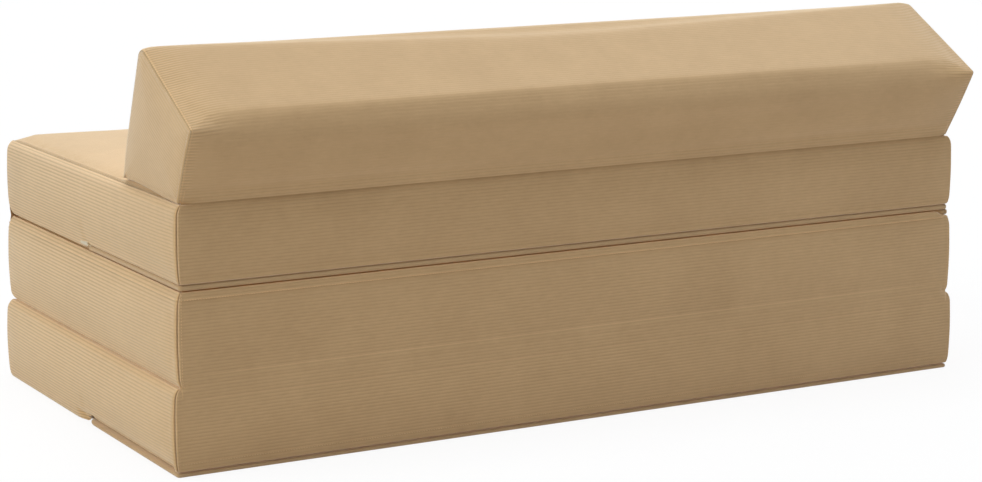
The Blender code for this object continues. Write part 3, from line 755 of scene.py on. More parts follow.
class Plan:
    """Columns round a rounded rectangle, counter-clockwise from its front left corner."""

    def __init__(self):
        sides = []
        shares = []
        bends = []
        for side in range(4):
            length = 2 * (SIDE if side % 2 == 0 else REAR) - 2 * CORNER
            run = spread(length)
            if side % 2:
                # columns every 3 mm where the zip's slider rests and the cover's rim changes
                close = (np.arange(-39, 25, 3) * MM * (1 if side == 1 else -1) + length / 2) / length
                close.sort()
                run = run[(run < close[0] - 4 * MM / length) | (run > close[-1] + 4 * MM / length)]
                run = np.sort(np.concatenate((run, close)))
            sides += [side] * len(run)
            shares += list(run)
            bends += [None] * len(run)
            for step in SEAM_STEPS:
                sides.append(side)
                shares.append(1.0)
                bends.append(step / SEAM_REACH)
        self.side = np.array(sides)
        self.share = np.array(shares)
        self.corner = np.array([bend is not None for bend in bends])
        self.bend = np.array([0.0 if bend is None else bend for bend in bends])
        self.long = self.side % 2 == 0
        self.swell = np.where(self.corner, 0.0, 1 - (2 * self.share - 1) ** 4)
        reach = np.where(self.long, 2 * SIDE, 2 * REAR) - 2 * CORNER
        off = np.minimum(self.share, 1 - self.share) * reach + SEAM_REACH * MM
        self.seam = np.where(self.corner, np.abs(self.bend) * SEAM_REACH * MM, off)
        self.signed = self.bend * SEAM_REACH * MM * np.where(self.long, -1.0, 1.0)
        along = (self.share - 0.5) * reach
        ends = np.where(self.side == 1, along, -along)
        corners = np.where((self.side == 1) | (self.side == 2), REAR, -REAR)
        self.depth = np.where(self.corner, corners, np.where(
            self.long, np.where(self.side == 2, REAR, -REAR), ends))
        self.end = np.where(self.corner, 0, np.select((self.side == 1, self.side == 3), (1, -1), 0))

    def ring(self, x_low, x_high, y_low, y_high, radius):
        """Plan points and their outward directions on a rounded rectangle, which may vary by column."""
        count = len(self.side)
        left, right, front, rear, radius = (
            np.broadcast_to(value, (count,)) for value in (x_low, x_high, y_low, y_high, radius))
        corners = np.stack([np.stack(pair, 1) for pair in (
            (left, front), (right, front), (right, rear), (left, rear))])
        alongs = np.array([(1.0, 0.0), (0.0, 1.0), (-1.0, 0.0), (0.0, -1.0)])
        outs = np.array([(0.0, -1.0), (1.0, 0.0), (0.0, 1.0), (-1.0, 0.0)])
        column = np.arange(count)
        along = alongs[self.side]
        out = outs[self.side]
        reach = radius[:, None]
        start = corners[self.side, column] + along * reach
        end = corners[(self.side + 1) % 4, column] - along * reach
        flat = start + (end - start) * self.share[:, None]
        angle = (self.bend + 1) * math.pi / 4
        turn = np.cos(angle)[:, None] * out + np.sin(angle)[:, None] * along
        where = np.where(self.corner[:, None], end - out * reach + turn * reach, flat)
        facing = np.where(self.corner[:, None], turn, out)
        return where, facing

    def near_pull(self, prefix):
        """1 where the zip's pull hangs, falling to 0 on either side of it."""
        pull_end = -1 if prefix == FLIPPED else 1
        return np.where(self.end == pull_end, hump(self.depth, PULL_PLACE, PULL_WIDTH), 0.0)

    def channel(self, prefix):
        """1 along the zip that the slider runs on, where the cover's rim makes room for it."""
        run = smooth((self.depth - CHANNEL_START) / CHANNEL_START_RUN)
        if prefix == FLIPPED:
            return np.where(self.end == -1, run, self.past_corner())
        stop = smooth((CHANNEL_END - self.depth) / CHANNEL_END_RUN)
        return np.where(self.end == 1, run * stop, 0.0)

    def past_corner(self):
        """1 at the rear left corner, falling to 0 on the long side within a few centimetres."""
        along = (1 - self.share) * (2 * SIDE - 2 * CORNER) + (1 - self.bend) * CORNER
        return np.where(self.side == 2, 1 - smooth((along - CORNER) / PAST_CORNER_RUN), 0.0)

    def deep(self):
        """Attribute that scales the ribs' relief and the painted shade in their grooves: about 1 on the
        ends towards the front, 0.5 at their rear, and 0 on the long sides.
        """
        share = smooth((REAR - self.depth) / (1.2 * REAR))
        return np.where(self.end != 0, 0.5 + 0.6 * share, 0.0)

    def openness(self, prefix):
        """1 where the zip shows and 0 where the cover hangs over it, for each column."""
        step = smooth((self.depth - ZIP_START) / ZIP_START_RUN)
        if prefix == FLIPPED:
            return np.where(self.end == -1, step, self.past_corner())
        return step


def rim_draw(height, rim):
    """How far the side is drawn in at some height above the zipped face."""
    draw, low, run = rim
    share = np.clip((low + run - height) / run, 0, 1)
    return draw * (1 - np.sqrt(1 - share ** 2))


def side_path(thickness, rim, step, count):
    """Draw, height, swell and distance to the rim, from the plain edge's seam down and in over the foam."""
    draw, low, run = rim
    line = [(EDGE_DRAW * (1 - math.sin(a)), thickness - EDGE_RUN * (1 - math.cos(a))) for a in quarter(16)]
    line += [(draw * (1 - math.sin(a)), low + run * (1 - math.cos(a))) for a in quarter(20)[::-1]]
    outer = len(line)
    inner = np.linspace(low + 0.9 * MM, FOAM_FLOOR, 6)
    line += [(rim_draw(height, rim) + 1.5 * MM, height) for height in inner]
    line += [(line[-1][0] + 60 * MM, FOAM_FLOOR)]
    at = np.arange(count) * step
    points, reach = even_line(np.array(line), lambda reach: at)
    left = reach[outer - 1] - at
    swell = np.clip(1 - (2 * (points[:, 1] - low) / (thickness - low) - 1) ** 2, 0, 1) * (left > 0)
    return points[:, 0], points[:, 1], swell, np.maximum(left, 0.0), reach[outer + 5]


def edge_distance(points, outline):
    """Distance of plan points from the nearest side of an outline."""
    nearest = np.full(len(points), np.inf)
    for first, second in zip(outline, np.roll(outline, -1, axis=0)):
        along = second - first
        share = np.clip((points - first) @ along / max(along @ along, 1e-12), 0, 1)
        nearest = np.minimum(nearest, np.linalg.norm(points - first - share[:, None] * along, axis=1))
    return nearest


def ruled_rows(outline, heading, step, columns):
    """Rows of points across a convex outline, parallel to a heading and a step apart."""
    along = np.array(heading) / np.linalg.norm(heading)
    across = np.array((-along[1], along[0]))
    flat = np.stack((outline @ along, outline @ across), 1)
    following = np.roll(flat, -1, axis=0)
    first = math.ceil(flat[:, 1].min() / step + 0.5)
    last = math.floor(flat[:, 1].max() / step - 0.5)
    rows = []
    levels = []
    for index in range(first, last + 1):
        level = index * step
        hit = (flat[:, 1] - level) * (following[:, 1] - level) < 0
        share = (level - flat[hit, 1]) / (following[hit, 1] - flat[hit, 1])
        cross = flat[hit, 0] + share * (following[hit, 0] - flat[hit, 0])
        ends = np.linspace(cross.min(), cross.max(), columns)
        rows.append(ends[:, None] * along + level * across)
        levels.append(level)
    return rows, levels


def loop_round(rows):
    """Outermost items of a block of rows, in order round it."""
    return [*rows[0], *(row[-1] for row in rows[1:-1]), *rows[-1][::-1], *(row[0] for row in rows[-2:0:-1])]


def fill_ruled(shape, outer, outer_flat, outline, heading, step, columns, place, inset):
    """Fill the inside of a loop with rows along the ribs, joined to it all round."""
    rows, levels = ruled_rows(outline, heading, step, columns)
    indices = [shape.add(place(row), level, edge_distance(row, outline) + inset)
               for row, level in zip(rows, levels)]
    shape.grid(indices, closed=False)
    shape.stitch(outer, np.array(loop_round(indices)), outer_flat, np.array(loop_round(rows)))


def seat_rise(x, y):
    """Rise of the seat's top: full ahead of the backrest, and beside the ends of its foot."""
    from_side = SIDE - EDGE_DRAW - np.abs(x)
    inside = plump(from_side, SEAT_RUNS["side"])
    front = plump(y + REAR - EDGE_DRAW, SEAT_RUNS["front"])
    free = SEAT_PUFF * inside * front * plump(FOOT_LOW.y - FOOT_CLEAR - y, SEAT_RUNS["foot"])
    beside = FOOT_PUFF * plump(from_side, SEAT_RUNS["end"])
    beside = beside * smooth((np.abs(x) - FOOT_END) / (30 * MM))
    beside = beside * smooth((295 * MM - y) / (130 * MM)) * smooth((y - 60 * MM) / (60 * MM))
    return np.maximum(free, beside)


def foot_rise(x, y):
    """Height of the backrest's foot over its flat base, where it lies on the seat's plump end."""
    x = np.abs(x)
    return seat_rise(np.minimum(x, FOOT_TIP), np.maximum(y, FOOT_FRONT)) * (x > FOOT_END)


def relief_hump(place, depth, centre, width):
    """Ridge or groove of some depth across a line."""
    return depth * hump(place, centre, width)


def seam_lift(distance, signed):
    """Groove of a corner seam, with the turned allowance as a ridge on its long side."""
    return relief_hump(signed, *SEAM_RIDGE) - relief_hump(distance, *SEAM_GROOVE)


def section_shape(prefix, cloth):
    """Sewn cushion of one section: side with ribs, zipped rim below and ruled plain face."""
    thickness = section_thickness(prefix)
    low = REST_HEIGHT[prefix]
    flip = prefix == FLIPPED
    side = SIDE + END_REACH[prefix]
    plan = Plan()
    shape = Shape()
    opened = plan.openness(prefix)
    deep = plan.deep()
    step = cloth.rib_pitch / SAMPLES_PER_RIB
    length = side_path(thickness, COVERED_RIM[prefix], step, 4)[-1]
    count = math.ceil(length / step) + 3
    covered = side_path(thickness, COVERED_RIM[prefix], step, count)
    zipped = side_path(thickness, FLOOR_RIM if prefix == "base" else OPEN_RIM, step, count)
    near_pull = plan.near_pull(prefix)
    channel = plan.channel(prefix)

    def lift(flat, height):
        z = low + (thickness - height if flip else height)
        return np.column_stack((flat, np.broadcast_to(z, len(flat))))

    def mixed(index, row):
        return covered[index][row] * (1 - opened) + zipped[index][row] * opened

    def place(points):
        rise = seat_rise(points[:, 0], points[:, 1]) if prefix == "seat" else 0.0
        return lift(points, thickness + rise)

    rows = []
    for row in range(count):
        draw, height, swell, left = (mixed(index, row) for index in range(4))
        dents = []
        for where, (deepest, level, width) in ((near_pull, PULL_DENT), (channel, SLIDER_GROOVE)):
            dents.append((deepest + END_REACH[prefix]) * where * hump(height, level, width))
        dent = np.maximum(*dents)
        rear = draw * np.where(height > thickness / 2, REAR_SHARE, 1 - 0.35 * (1 - opened))
        radius = np.maximum(CORNER - draw * 0.4, 2.5 * MM)
        flat, facing = plan.ring(-side + draw, side - draw, -REAR + draw, REAR - rear, radius)
        out = np.where(plan.long, FACE_SWELL, END_SWELL) * plan.swell * swell
        out = out + CORNER_SWELL[prefix] * swell - dent
        along = row * step
        # Distance to the nearest seam, which sets the painted shade along the corner seams and, faintly,
        # along the seat's plain edge; the other plain edges and the rims are kept clear of it.
        plain_edge = along + (0.45 if prefix == "seat" else 1.0) * MM
        seam = np.minimum(np.minimum(plan.seam, plain_edge), left + 1.0 * MM)
        relief = seam_lift(plan.seam, plan.signed) * np.minimum(1.0, np.minimum(along, left) / (3 * MM))
        if row == 0:
            relief = relief - PLAIN_SEAM_DEPTH
        if flip:
            # Painted highlight: a lighter line of colour along the middle's stitched ridge at 10.5 mm,
            # where it would catch the light.
            painted_highlight = (np.abs(height - 10.5 * MM) < 0.8 * MM) & (left > 0) & (opened < 0.5) & ~plan.corner
            seam = np.where(painted_highlight, HIGHLIGHT_FROM_SEAM, seam)
            for ridge in TURNED_RIDGES:
                relief = relief + relief_hump(height, *ridge) * (left > 0) * (1 - opened)
        swollen = flat + facing * out[:, None] * (1.0, LONG_SHARE)
        rows.append(shape.add(lift(swollen, height), along, seam, relief, deep))
    heights, lefts = (np.array([mixed(index, row) for row in range(count)]) for index in (1, 3))
    below = np.where(lefts > 0, np.abs(heights - STITCH_HEIGHT[prefix]), FAR).argmin(0)
    at = np.flatnonzero((plan.side == 2) & ((opened < 0.2) | (not flip)))
    ring = np.array(rows)
    shape.stitches.append(ring[below[at], at])
    for side_number in range(4):
        near_seam = np.flatnonzero((plan.side == side_number) & plan.corner)
        column = near_seam[np.argmin(np.abs(plan.signed[near_seam] - STITCH_FROM_SEAM))]
        clear = STITCH_CLEAR_FLIPPED if flip and side_number == 2 else STITCH_CLEAR
        tall = np.flatnonzero((np.arange(count) * step > 5 * MM) & (lefts[:, column] > clear))
        shape.stitches.append(ring[tall, column])
    shape.cap(rows[-1])
    rows.reverse()
    for inset in (1.4 * MM, 3.0 * MM):
        draw = EDGE_DRAW + inset
        outline, _ = plan.ring(-side + draw, side - draw, -REAR + draw,
                               REAR - EDGE_DRAW * REAR_SHARE - inset, 3 * MM)
        rows.append(shape.add(place(outline), outline[:, 1], inset, 0.0))
    shape.grid(rows)
    inset = 5 * MM
    x_edge = side - EDGE_DRAW - inset
    y_low = -REAR + EDGE_DRAW + inset
    y_high = REAR - EDGE_DRAW * REAR_SHARE - inset
    corners = np.array([(-x_edge, y_low), (x_edge, y_low), (x_edge, y_high), (-x_edge, y_high)])
    fill_ruled(shape, rows[-1], outline, corners, (1.0, 0.0), step, 64, place, inset)
    return shape


def side_surface(prefix, x, z, rear):
    """Y of a section's long side where the hinges are sewn on, clear of its rounded edges."""
    thickness = section_thickness(prefix)
    height = z - REST_HEIGHT[prefix]
    rim = COVERED_RIM[prefix][1]
    if prefix == FLIPPED:
        height = thickness - height
    elif rear:
        rim = OPEN_RIM[1]
    swell = 1 - (2 * (height - rim) / (thickness - rim) - 1) ** 2
    share = np.clip(np.abs(x) / (SIDE - CORNER), 0, 1)
    out = REAR + LONG_SHARE * swell * (CORNER_SWELL[prefix] + FACE_SWELL * (1 - share ** 4))
    return out if rear else -out


def fillet(before, corner, after, radius, steps=14):
    """Arc that rounds a corner of the backrest's profile."""
    inward = (before - corner).normalized()
    outward = (after - corner).normalized()
    half = inward.angle(outward) / 2
    centre = corner + (inward + outward).normalized() * radius / math.sin(half)
    tangent = radius / math.tan(half)
    start = (corner + inward * tangent - centre).normalized()
    end = (corner + outward * tangent - centre).normalized()
    return [centre + radius * start.slerp(end, step / steps) for step in range(steps + 1)]


def wedge_profile(cloth, corners, shoulder_radius, crest_radius, count=None):
    """Even points up the back, over the crest and down the front, with their outward directions."""
    rear, shoulder, crest, front = (Vector(point) for point in corners)
    line = [rear, *fillet(rear, shoulder, crest, shoulder_radius)]
    line += [*fillet(shoulder, crest, front, crest_radius), front]
    line = np.array([tuple(point) for point in line])
    low = BACKREST_FLOOR + FOOT_RIM
    line[0, 1] = line[-1, 1] = low
    step = cloth.rib_pitch / SAMPLES_PER_RIB

    def even(reach):
        return np.linspace(0.0, reach[-1], (count or int(reach[-1] / step)) + 1)

    points, _ = even_line(line, even)
    ahead = np.gradient(points, axis=0)
    facing = np.column_stack((ahead[:, 1], -ahead[:, 0]))
    facing /= np.linalg.norm(facing, axis=1)[:, None]
    return points, facing, np.arange(len(points)) * step


def crispness(depth):
    """1 at the backrest's end seams, falling to 0 within its length."""
    return np.clip(1 - depth / CRISP_RUN, 0, 1) ** 1.6


def backrest_shape(cloth):
    """Wedge cushion: one ribbed panel round its length, and an end panel at each side."""
    soft, facing, rib = wedge_profile(cloth, BACKREST_POINTS, SHOULDER_RADIUS, CREST_RADIUS)
    crisp, crisp_facing, _ = wedge_profile(
        cloth, BACKREST_SEAM_POINTS, SEAM_SHOULDER_RADIUS, CREST_RADIUS, len(soft) - 1)
    count = len(soft)
    index = np.arange(count)
    shoulder = int(np.argmax(crisp[:, 0]))
    crest = int(np.argmax(crisp[:, 1]))
    pull_in = np.interp(index, (0, shoulder - 4, shoulder + 6, crest - 8, crest + 8, count - 1),
                        np.array((0.6, 0.6, 0.8, 4, 4.5, 3)) * MM)
    arc = quarter(10)
    edge_x = REST_SIDE - REST_END_RUN * (1 - np.cos(arc))
    edge_in = 1 - np.sin(arc)
    near = edge_x[-1] - np.array([6, 13, 21, 30, 40]) * MM
    inner_x = np.linspace(near[-1], -near[-1], 92)[1:-1]
    half = np.concatenate((edge_x, near))
    xs = np.concatenate((half, inner_x, -half[::-1]))
    ins = np.concatenate((edge_in, np.zeros(len(inner_x) + 2 * len(near)), edge_in[::-1]))
    front_part = index > count - 20
    ends = np.minimum(index, index[::-1]) * cloth.rib_pitch / SAMPLES_PER_RIB + 1 * MM
    beside_seam = np.where(index < shoulder + 4, 1.8 * MM, 6 * MM)
    fade = np.where(np.arange(count + FLOOR_STEPS) < shoulder - 6, REAR_PLAIN_RUN, END_DEPTH)
    ribs = np.concatenate((rib, np.zeros(FLOOR_STEPS)))
    shape = Shape()
    columns = []
    loops = []
    for x, inward in zip(xs, ins):
        depth = REST_SIDE - abs(x)
        crisp_share = crispness(depth)
        loop = soft * (1 - crisp_share) + crisp * crisp_share
        normal = facing * (1 - crisp_share) + crisp_facing * crisp_share
        loop = loop - normal * (pull_in * inward)[:, None]
        opened = np.clip((depth - 32 * MM) / (16 * MM), 0, 1)
        foot = loop[-1, 1] + (OPEN_RIM[1] - FOOT_RIM) * opened
        loop[(loop[:, 1] < foot) & front_part, 1] = foot
        drawn = rim_draw(loop[:, 1] - BACKREST_FLOOR, OPEN_RIM) * opened
        loop[:, 0] += np.where(front_part, drawn, 0.0)
        first, last = loop[-1, 0], loop[0, 0]
        floor_y = np.concatenate((
            [first + 1.4 * MM, first + 1.6 * MM], np.linspace(first + 12 * MM, last - 12 * MM, 6),
            [last - 1.6 * MM, last - 1.4 * MM]))
        floor_z = np.full(FLOOR_STEPS, BACKREST_FLOOR + (FOAM_FLOOR if depth > 2 * MM else FOOT_RIM))
        floor_z[0] = foot
        floor_z[-1] = BACKREST_FLOOR + FOOT_RIM
        ring = np.vstack((loop, np.column_stack((floor_y, floor_z))))
        low_share = np.clip(1 - (ring[:, 1] - BACKREST_FLOOR) / (60 * MM), 0, 1)
        ring[:, 1] += foot_rise(x, ring[:, 0]) * low_share
        foot_in = np.concatenate((FOOT_DRAW * rim_share(loop[:, 1]), np.full(FLOOR_STEPS, FOOT_DRAW)))
        taper = (REST_SIDE - foot_in) / REST_SIDE
        # Distance to the nearest seam, which sets the painted shade along the end seams; the foot's rims
        # and floor are kept 1 mm off it, clear of that shade.
        off_seam = np.maximum(depth, (1 - inward) * beside_seam if inward else FAR)
        seam = np.concatenate((np.minimum(off_seam, ends), np.full(FLOOR_STEPS, 1 * MM)))
        relief = np.zeros(count + FLOOR_STEPS)
        # Attribute that scales the rib relief and the painted groove shade: 0.5 at the end seams, fading to
        # weaker ribs and lighter grooves within a short run on the rear face and a longer run elsewhere.
        backrest_rib_depth_and_shade = 0.5 - 1.3 * smooth((depth - 4 * MM) / fade)
        if depth < 0.01 * MM:
            relief[:count] = -END_SEAM_DEPTH
            relief[:shoulder] = -REAR_SEAM_DEPTH
        columns.append(shape.add(np.column_stack((x * taper, ring)), ribs, seam, relief, backrest_rib_depth_and_shade))
        loops.append(ring)
    for column in (columns[3], columns[-4]):
        shape.stitches.append(column[6:count - 6])
    shape.grid(columns)
    for side, column, seam_loop in ((1.0, columns[0], loops[0]), (-1.0, columns[-1], loops[-1])):
        end_panel(shape, side, column, seam_loop, cloth)
    return shape


def rim_share(height):
    """1 at the backrest's foot, falling to 0 some way up its ends."""
    return np.clip((BACKREST_FLOOR + FOOT_TAPER - height) / FOOT_TAPER, 0, 1) ** 1.6


def end_panel(shape, side, column, seam_loop, cloth):
    """Ribbed end of the backrest inside its seam, with ribs along the slanted top."""
    centre = seam_loop.mean(0)

    def placed(rows, depth):
        swell = END_SWELL * (1 - (1 - np.clip(depth / (62 * MM), 0, 1)) ** 2.2)
        out = REST_SIDE - FOOT_DRAW * rim_share(rows[:, 1]) + swell
        return np.column_stack((side * out, rows))

    rings = [column]
    for inset in (1.4 * MM, 3.0 * MM):
        flat = seam_loop + (centre - seam_loop) * (inset / END_DEPTH)
        rings.append(shape.add(placed(flat, inset), 0.0, inset))
    shape.grid(rings)
    inset = 5 * MM
    outline = (seam_loop + (centre - seam_loop) * (inset / END_DEPTH))[::4]
    heading = np.array(BACKREST_POINTS[1]) - np.array(BACKREST_POINTS[2])
    whole = seam_loop[::6]
    fill_ruled(shape, rings[-1], flat, outline, heading, cloth.rib_pitch / SAMPLES_PER_RIB, 26,
               lambda rows: placed(rows, edge_distance(rows, whole)), inset)


def closing_shape(prefix):
    """Closing panel of a cushion: flat face, full lip where the zip shows, and the block behind it."""
    plan = Plan()
    shape = Shape()
    reach = END_REACH.get(prefix, 0.0)
    side = SIDE + reach
    front, rear = -REAR, REAR
    if prefix == "backrest":
        front, rear = FOOT_LOW.y - LIP_INSET, FOOT_HIGH.y + LIP_INSET
        to_corner = np.minimum(plan.share, 1 - plan.share)
        on_front = (plan.side == 0) & ~plan.corner
        opened = np.where(on_front, np.clip(to_corner / 0.03 - 0.3, 0, 1), 0.0)
    else:
        opened = plan.openness(prefix)
    dent = plan.near_pull(prefix) * reach
    rows = []
    for draw, height in LIP:
        if prefix == "base" and height < 8:
            height *= LIP_PRESSED
        if draw < LIP_BACK:
            inset = np.minimum(draw * MM + 8.2 * MM * (1 - opened), 13.5 * MM) + dent
        else:
            inset = np.full(len(opened), draw * MM + max(reach, 0.0))
        radius = np.maximum(1.5 * MM, CORNER + 1 * MM - inset)
        flat, _ = plan.ring(-side + inset, side - inset, front + inset, rear - inset, radius)
        z = np.full(len(flat), zip_level(prefix, height * MM))
        if prefix == "backrest":
            z = z + foot_rise(flat[:, 0], flat[:, 1])
        rows.append(shape.add(np.column_stack((flat, z))))
    shape.grid(rows)
    shape.cap(rows[0])
    shape.cap(rows[-1])
    return shape


def swept(prefix, path, facing, outline):
    """Closed bar whose outline, in outward distance and height, follows a path in plan."""
    shape = Shape()
    rows = []
    for out, height in outline:
        flat = path + facing * out * MM
        z = np.full(len(flat), zip_level(prefix, height * MM))
        rows.append(shape.add(np.column_stack((flat, z))))
    shape.grid([*rows, rows[0]], closed=False)
    shape.cap([row[0] for row in rows])
    shape.cap([row[-1] for row in rows][::-1])
    return shape


def half_path(prefix, draw, rear):
    """Rear or front half of a section's outline, drawn in, from +X to -X, with its directions."""
    plan = Plan()
    reach = min(END_REACH[prefix], 0.0) if rear else END_REACH[prefix]
    side = SIDE + reach
    inset = draw + plan.near_pull(prefix) * reach
    flat, facing = plan.ring(-side + inset, side - inset, -REAR + draw, REAR - draw, CORNER)
    way = 1 if rear else -1
    kept = way * flat[:, 1] > 4 * MM
    flat, facing = flat[kept], facing[kept]
    order = np.argsort(np.arctan2(way * flat[:, 1], flat[:, 0]))
    first, last = (flat[[end]] * (1, 0) + (0, way * 0.2 * MM) for end in (order[0], order[-1]))
    return np.vstack((first, flat[order], last)), np.vstack(((1.0, 0.0), facing[order], (-1.0, 0.0)))


def zip_level(prefix, height):
    """Height on the floor of a level measured from a section's zipped face."""
    if prefix == FLIPPED:
        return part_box(f"{prefix}_zip_panel")[1].z - height
    return REST_HEIGHT[prefix] + height


def section_thickness(prefix):
    """Height of a section from its zipped face to its plain face."""
    low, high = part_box(f"{prefix}_cover")
    if prefix == FLIPPED:
        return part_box(f"{prefix}_zip_panel")[1].z - low.z
    rise = SEAT_CROWN if prefix == "seat" else 0.0
    return high.z - rise - REST_HEIGHT[prefix]


def section_free(prefix):
    """Where a section's cloth may swell: its sides between the seams, and the seat's open top."""
    low, thickness, side = REST_HEIGHT[prefix], section_thickness(prefix), SIDE + END_REACH[prefix]

    def free(points):
        x, y, z = np.abs(points[:, 0]), points[:, 1], points[:, 2]
        height = thickness - (z - low) if prefix == FLIPPED else z - low
        from_end, from_face = side - x, REAR - np.abs(y)
        side_band = (height > SEAM_HOLD) & (height < thickness - PLAIN_HOLD)
        side_band &= np.minimum(from_end, from_face) < SEAM_HOLD
        side_band &= np.maximum(from_end, from_face) > SEAM_HOLD
        if prefix != "seat":
            return side_band
        top = (height > thickness - 4 * MM) & (from_end > 20 * MM) & (y > 20 * MM - REAR)
        return side_band | (top & (y < FOOT_LOW.y - 26 * MM))

    return free


def backrest_free(points):
    """Where the backrest's cloth may swell: inside its end seams and above its foot."""
    outline = np.array(BACKREST_POINTS)
    inside = edge_distance(points[:, 1:], outline)
    from_end = REST_SIDE - np.abs(points[:, 0])
    above = points[:, 2] > BACKREST_FLOOR + 24 * MM
    return above & ((from_end > 15 * MM) | (inside > SEAM_HOLD))


class SOFA_OT_finishes(bpy.types.Operator):
    """Make the cloths, threads and metals."""
    bl_idname = "sofa.finishes"
    bl_label = "Finishes"

    def execute(self, context):
        cloth = context.scene.sofa_cloth
        trim = context.scene.sofa_trim
        ribbed_cloth("ribbed_cloth", cloth)
        woven_cloth("panel_weave", tuple(channel * 0.90 for channel in cloth.colour), 1.5 * MM, 0.5)
        woven_cloth("zip_tape_weave", tuple(trim.tape), 0.9 * MM, 0.0)
        woven_cloth("sewing_thread", tuple(trim.thread), 0.6 * MM, 0.1)
        # A lighter copy of the thread, a painted highlight for the middle section's stitches.
        woven_cloth("pale_thread", tuple(channel * 1.3 for channel in trim.thread), 0.6 * MM, 0.1)
        cast_metal("light_cast_metal", tuple(trim.light_metal))
        cast_metal("dark_cast_metal", tuple(trim.dark_metal))
        return {"FINISHED"}


def sew_cushion(prefix, shape, scene, seed, free):
    """Cushion of ribbed cloth on its foam, and its rows of stitches."""
    made = dressed(f"{prefix}_cushion", shape, scene.sofa_cloth, seed, free=free)
    belongs(made, prefix, "cover_cloth", f"{prefix}_cover", f"{prefix}_foam_core")
    # The middle's stitches take the lighter thread copy: painted highlight along its stitched ridges.
    thread = "pale_thread" if prefix == FLIPPED else "sewing_thread"
    rows = stitched(f"{prefix}_stitches", made, shape.stitches, scene.sofa_trim, thread)
    belongs(rows, prefix, "cover_cloth")


class SOFA_OT_sections(bpy.types.Operator):
    """Make the three sewn sections."""
    bl_idname = "sofa.sections"
    bl_label = "Sections"

    def execute(self, context):
        cloth = context.scene.sofa_cloth
        for seed, prefix in enumerate(SECTIONS):
            shape = section_shape(prefix, cloth)
            sew_cushion(prefix, shape, context.scene, 3.0 + seed, section_free(prefix))
        return {"FINISHED"}


class SOFA_OT_backrest(bpy.types.Operator):
    """Make the wedge backrest."""
    bl_idname = "sofa.backrest"
    bl_label = "Backrest"

    def execute(self, context):
        shape = backrest_shape(context.scene.sofa_cloth)
        sew_cushion("backrest", shape, context.scene, 8.0, backrest_free)
        return {"FINISHED"}


class SOFA_OT_closing_panels(bpy.types.Operator):
    """Make the zipped closing panels under the covers."""
    bl_idname = "sofa.closing_panels"
    bl_label = "Closing panels"

    def execute(self, context):
        for prefix in (*SECTIONS, "backrest"):
            mesh = closing_shape(prefix).mesh(prefix)
            made = new_object(f"{prefix}_closing_panel", mesh, material("panel_weave"))
            belongs(made, prefix, "panel_cloth", f"{prefix}_zip_panel")
        return {"FINISHED"}


class SOFA_OT_zips(bpy.types.Operator):
    """Make the zip tapes with their coils, and the sewn seams that carry them on."""
    bl_idname = "sofa.zips"
    bl_label = "Zips and seams"

    def execute(self, context):
        trim = context.scene.sofa_trim
        for prefix in SECTIONS:
            path, facing = half_path(prefix, TAPE_DRAW, True)
            level = zip_level(prefix, COIL_HEIGHT)
            line = np.column_stack((path + facing * COIL_OUT, np.full(len(path), level)))
            self.sew_zip(prefix, path, facing, line, trim)
            path, facing = half_path(prefix, WELT_DRAW, False)
            welt = swept(prefix, path, facing, WELT_OUTLINE)
            made = new_object(f"{prefix}_front_welt", welt.mesh(prefix), material("panel_weave"))
            belongs(made, prefix, "cover_cloth", f"{prefix}_front_seam")
        self.backrest_zip(trim)
        return {"FINISHED"}

    def sew_zip(self, prefix, path, facing, line, trim):
        tape = swept(prefix, path, facing, TAPE_OUTLINE)
        made = new_object(f"{prefix}_zip_tape", tape.mesh(prefix), material("zip_tape_weave"))
        belongs(made, prefix, "zip_tape", f"{prefix}_zip_chain")
        coils = beads(f"{prefix}_zip_coils", [line], COIL_SIZE, trim.tooth_pitch, "zip_tape_weave")
        belongs(coils, prefix, "zip_tape")

    def backrest_zip(self, trim):
        low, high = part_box("backrest_zip_chain")
        path = np.array([(high.x, low.y), (0.0, low.y), (low.x, low.y)])
        level = zip_level("backrest", COIL_HEIGHT)
        line = [(x, low.y - COIL_OUT, level) for x in (high.x - 1 * MM, low.x + 1 * MM)]
        self.sew_zip("backrest", path, np.tile((0.0, -1.0), (3, 1)), line, trim)
        seam_low, seam_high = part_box("backrest_seam")
        flat, facing = Plan().ring(
            seam_low.x + WELT_DRAW, seam_high.x - WELT_DRAW, seam_low.y, seam_high.y, CORNER)
        front = (facing[:, 1] < -0.99) & (np.abs(flat[:, 0]) < high.x + 1 * MM)
        first = int(np.argmax(flat[:, 0] * front + (front - 1)))
        order = np.roll(np.arange(len(flat)), -first)
        order = order[~front[order]]
        flat = np.vstack(((high.x + 1 * MM, seam_low.y), flat[order], (low.x - 1 * MM, seam_low.y)))
        facing = np.vstack(((0.0, -1.0), facing[order], (0.0, -1.0)))
        shape = swept("backrest", flat, facing, WELT_OUTLINE)
        for points in shape.points:
            points[:, 2] += foot_rise(points[:, 0], points[:, 1])
        made = new_object("backrest_foot_welt", shape.mesh("backrest_foot_welt"), material("panel_weave"))
        belongs(made, "backrest", "cover_cloth", "backrest_seam")


class SOFA_OT_hinges(bpy.types.Operator):
    """Make the fabric hinges that join the sections and the backrest."""
    bl_idname = "sofa.hinges"
    bl_label = "Fabric hinges"

    def execute(self, context):
        cloth = context.scene.sofa_cloth
        for seed, (name, first, second, crease) in enumerate(HINGES):
            lower, upper = (f"{name}_{prefix}_leaf" for prefix in (first, second))
            low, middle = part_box(lower)
            _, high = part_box(upper)
            rear = middle.y > 0
            fold = middle.z
            shape = strip_shape(first, second, low.z, fold, high.z, rear, crease, cloth)
            made = dressed(name, shape, cloth, 12.0 + seed, 0.0)
            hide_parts(lower, upper)
            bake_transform(made)
        return {"FINISHED"}


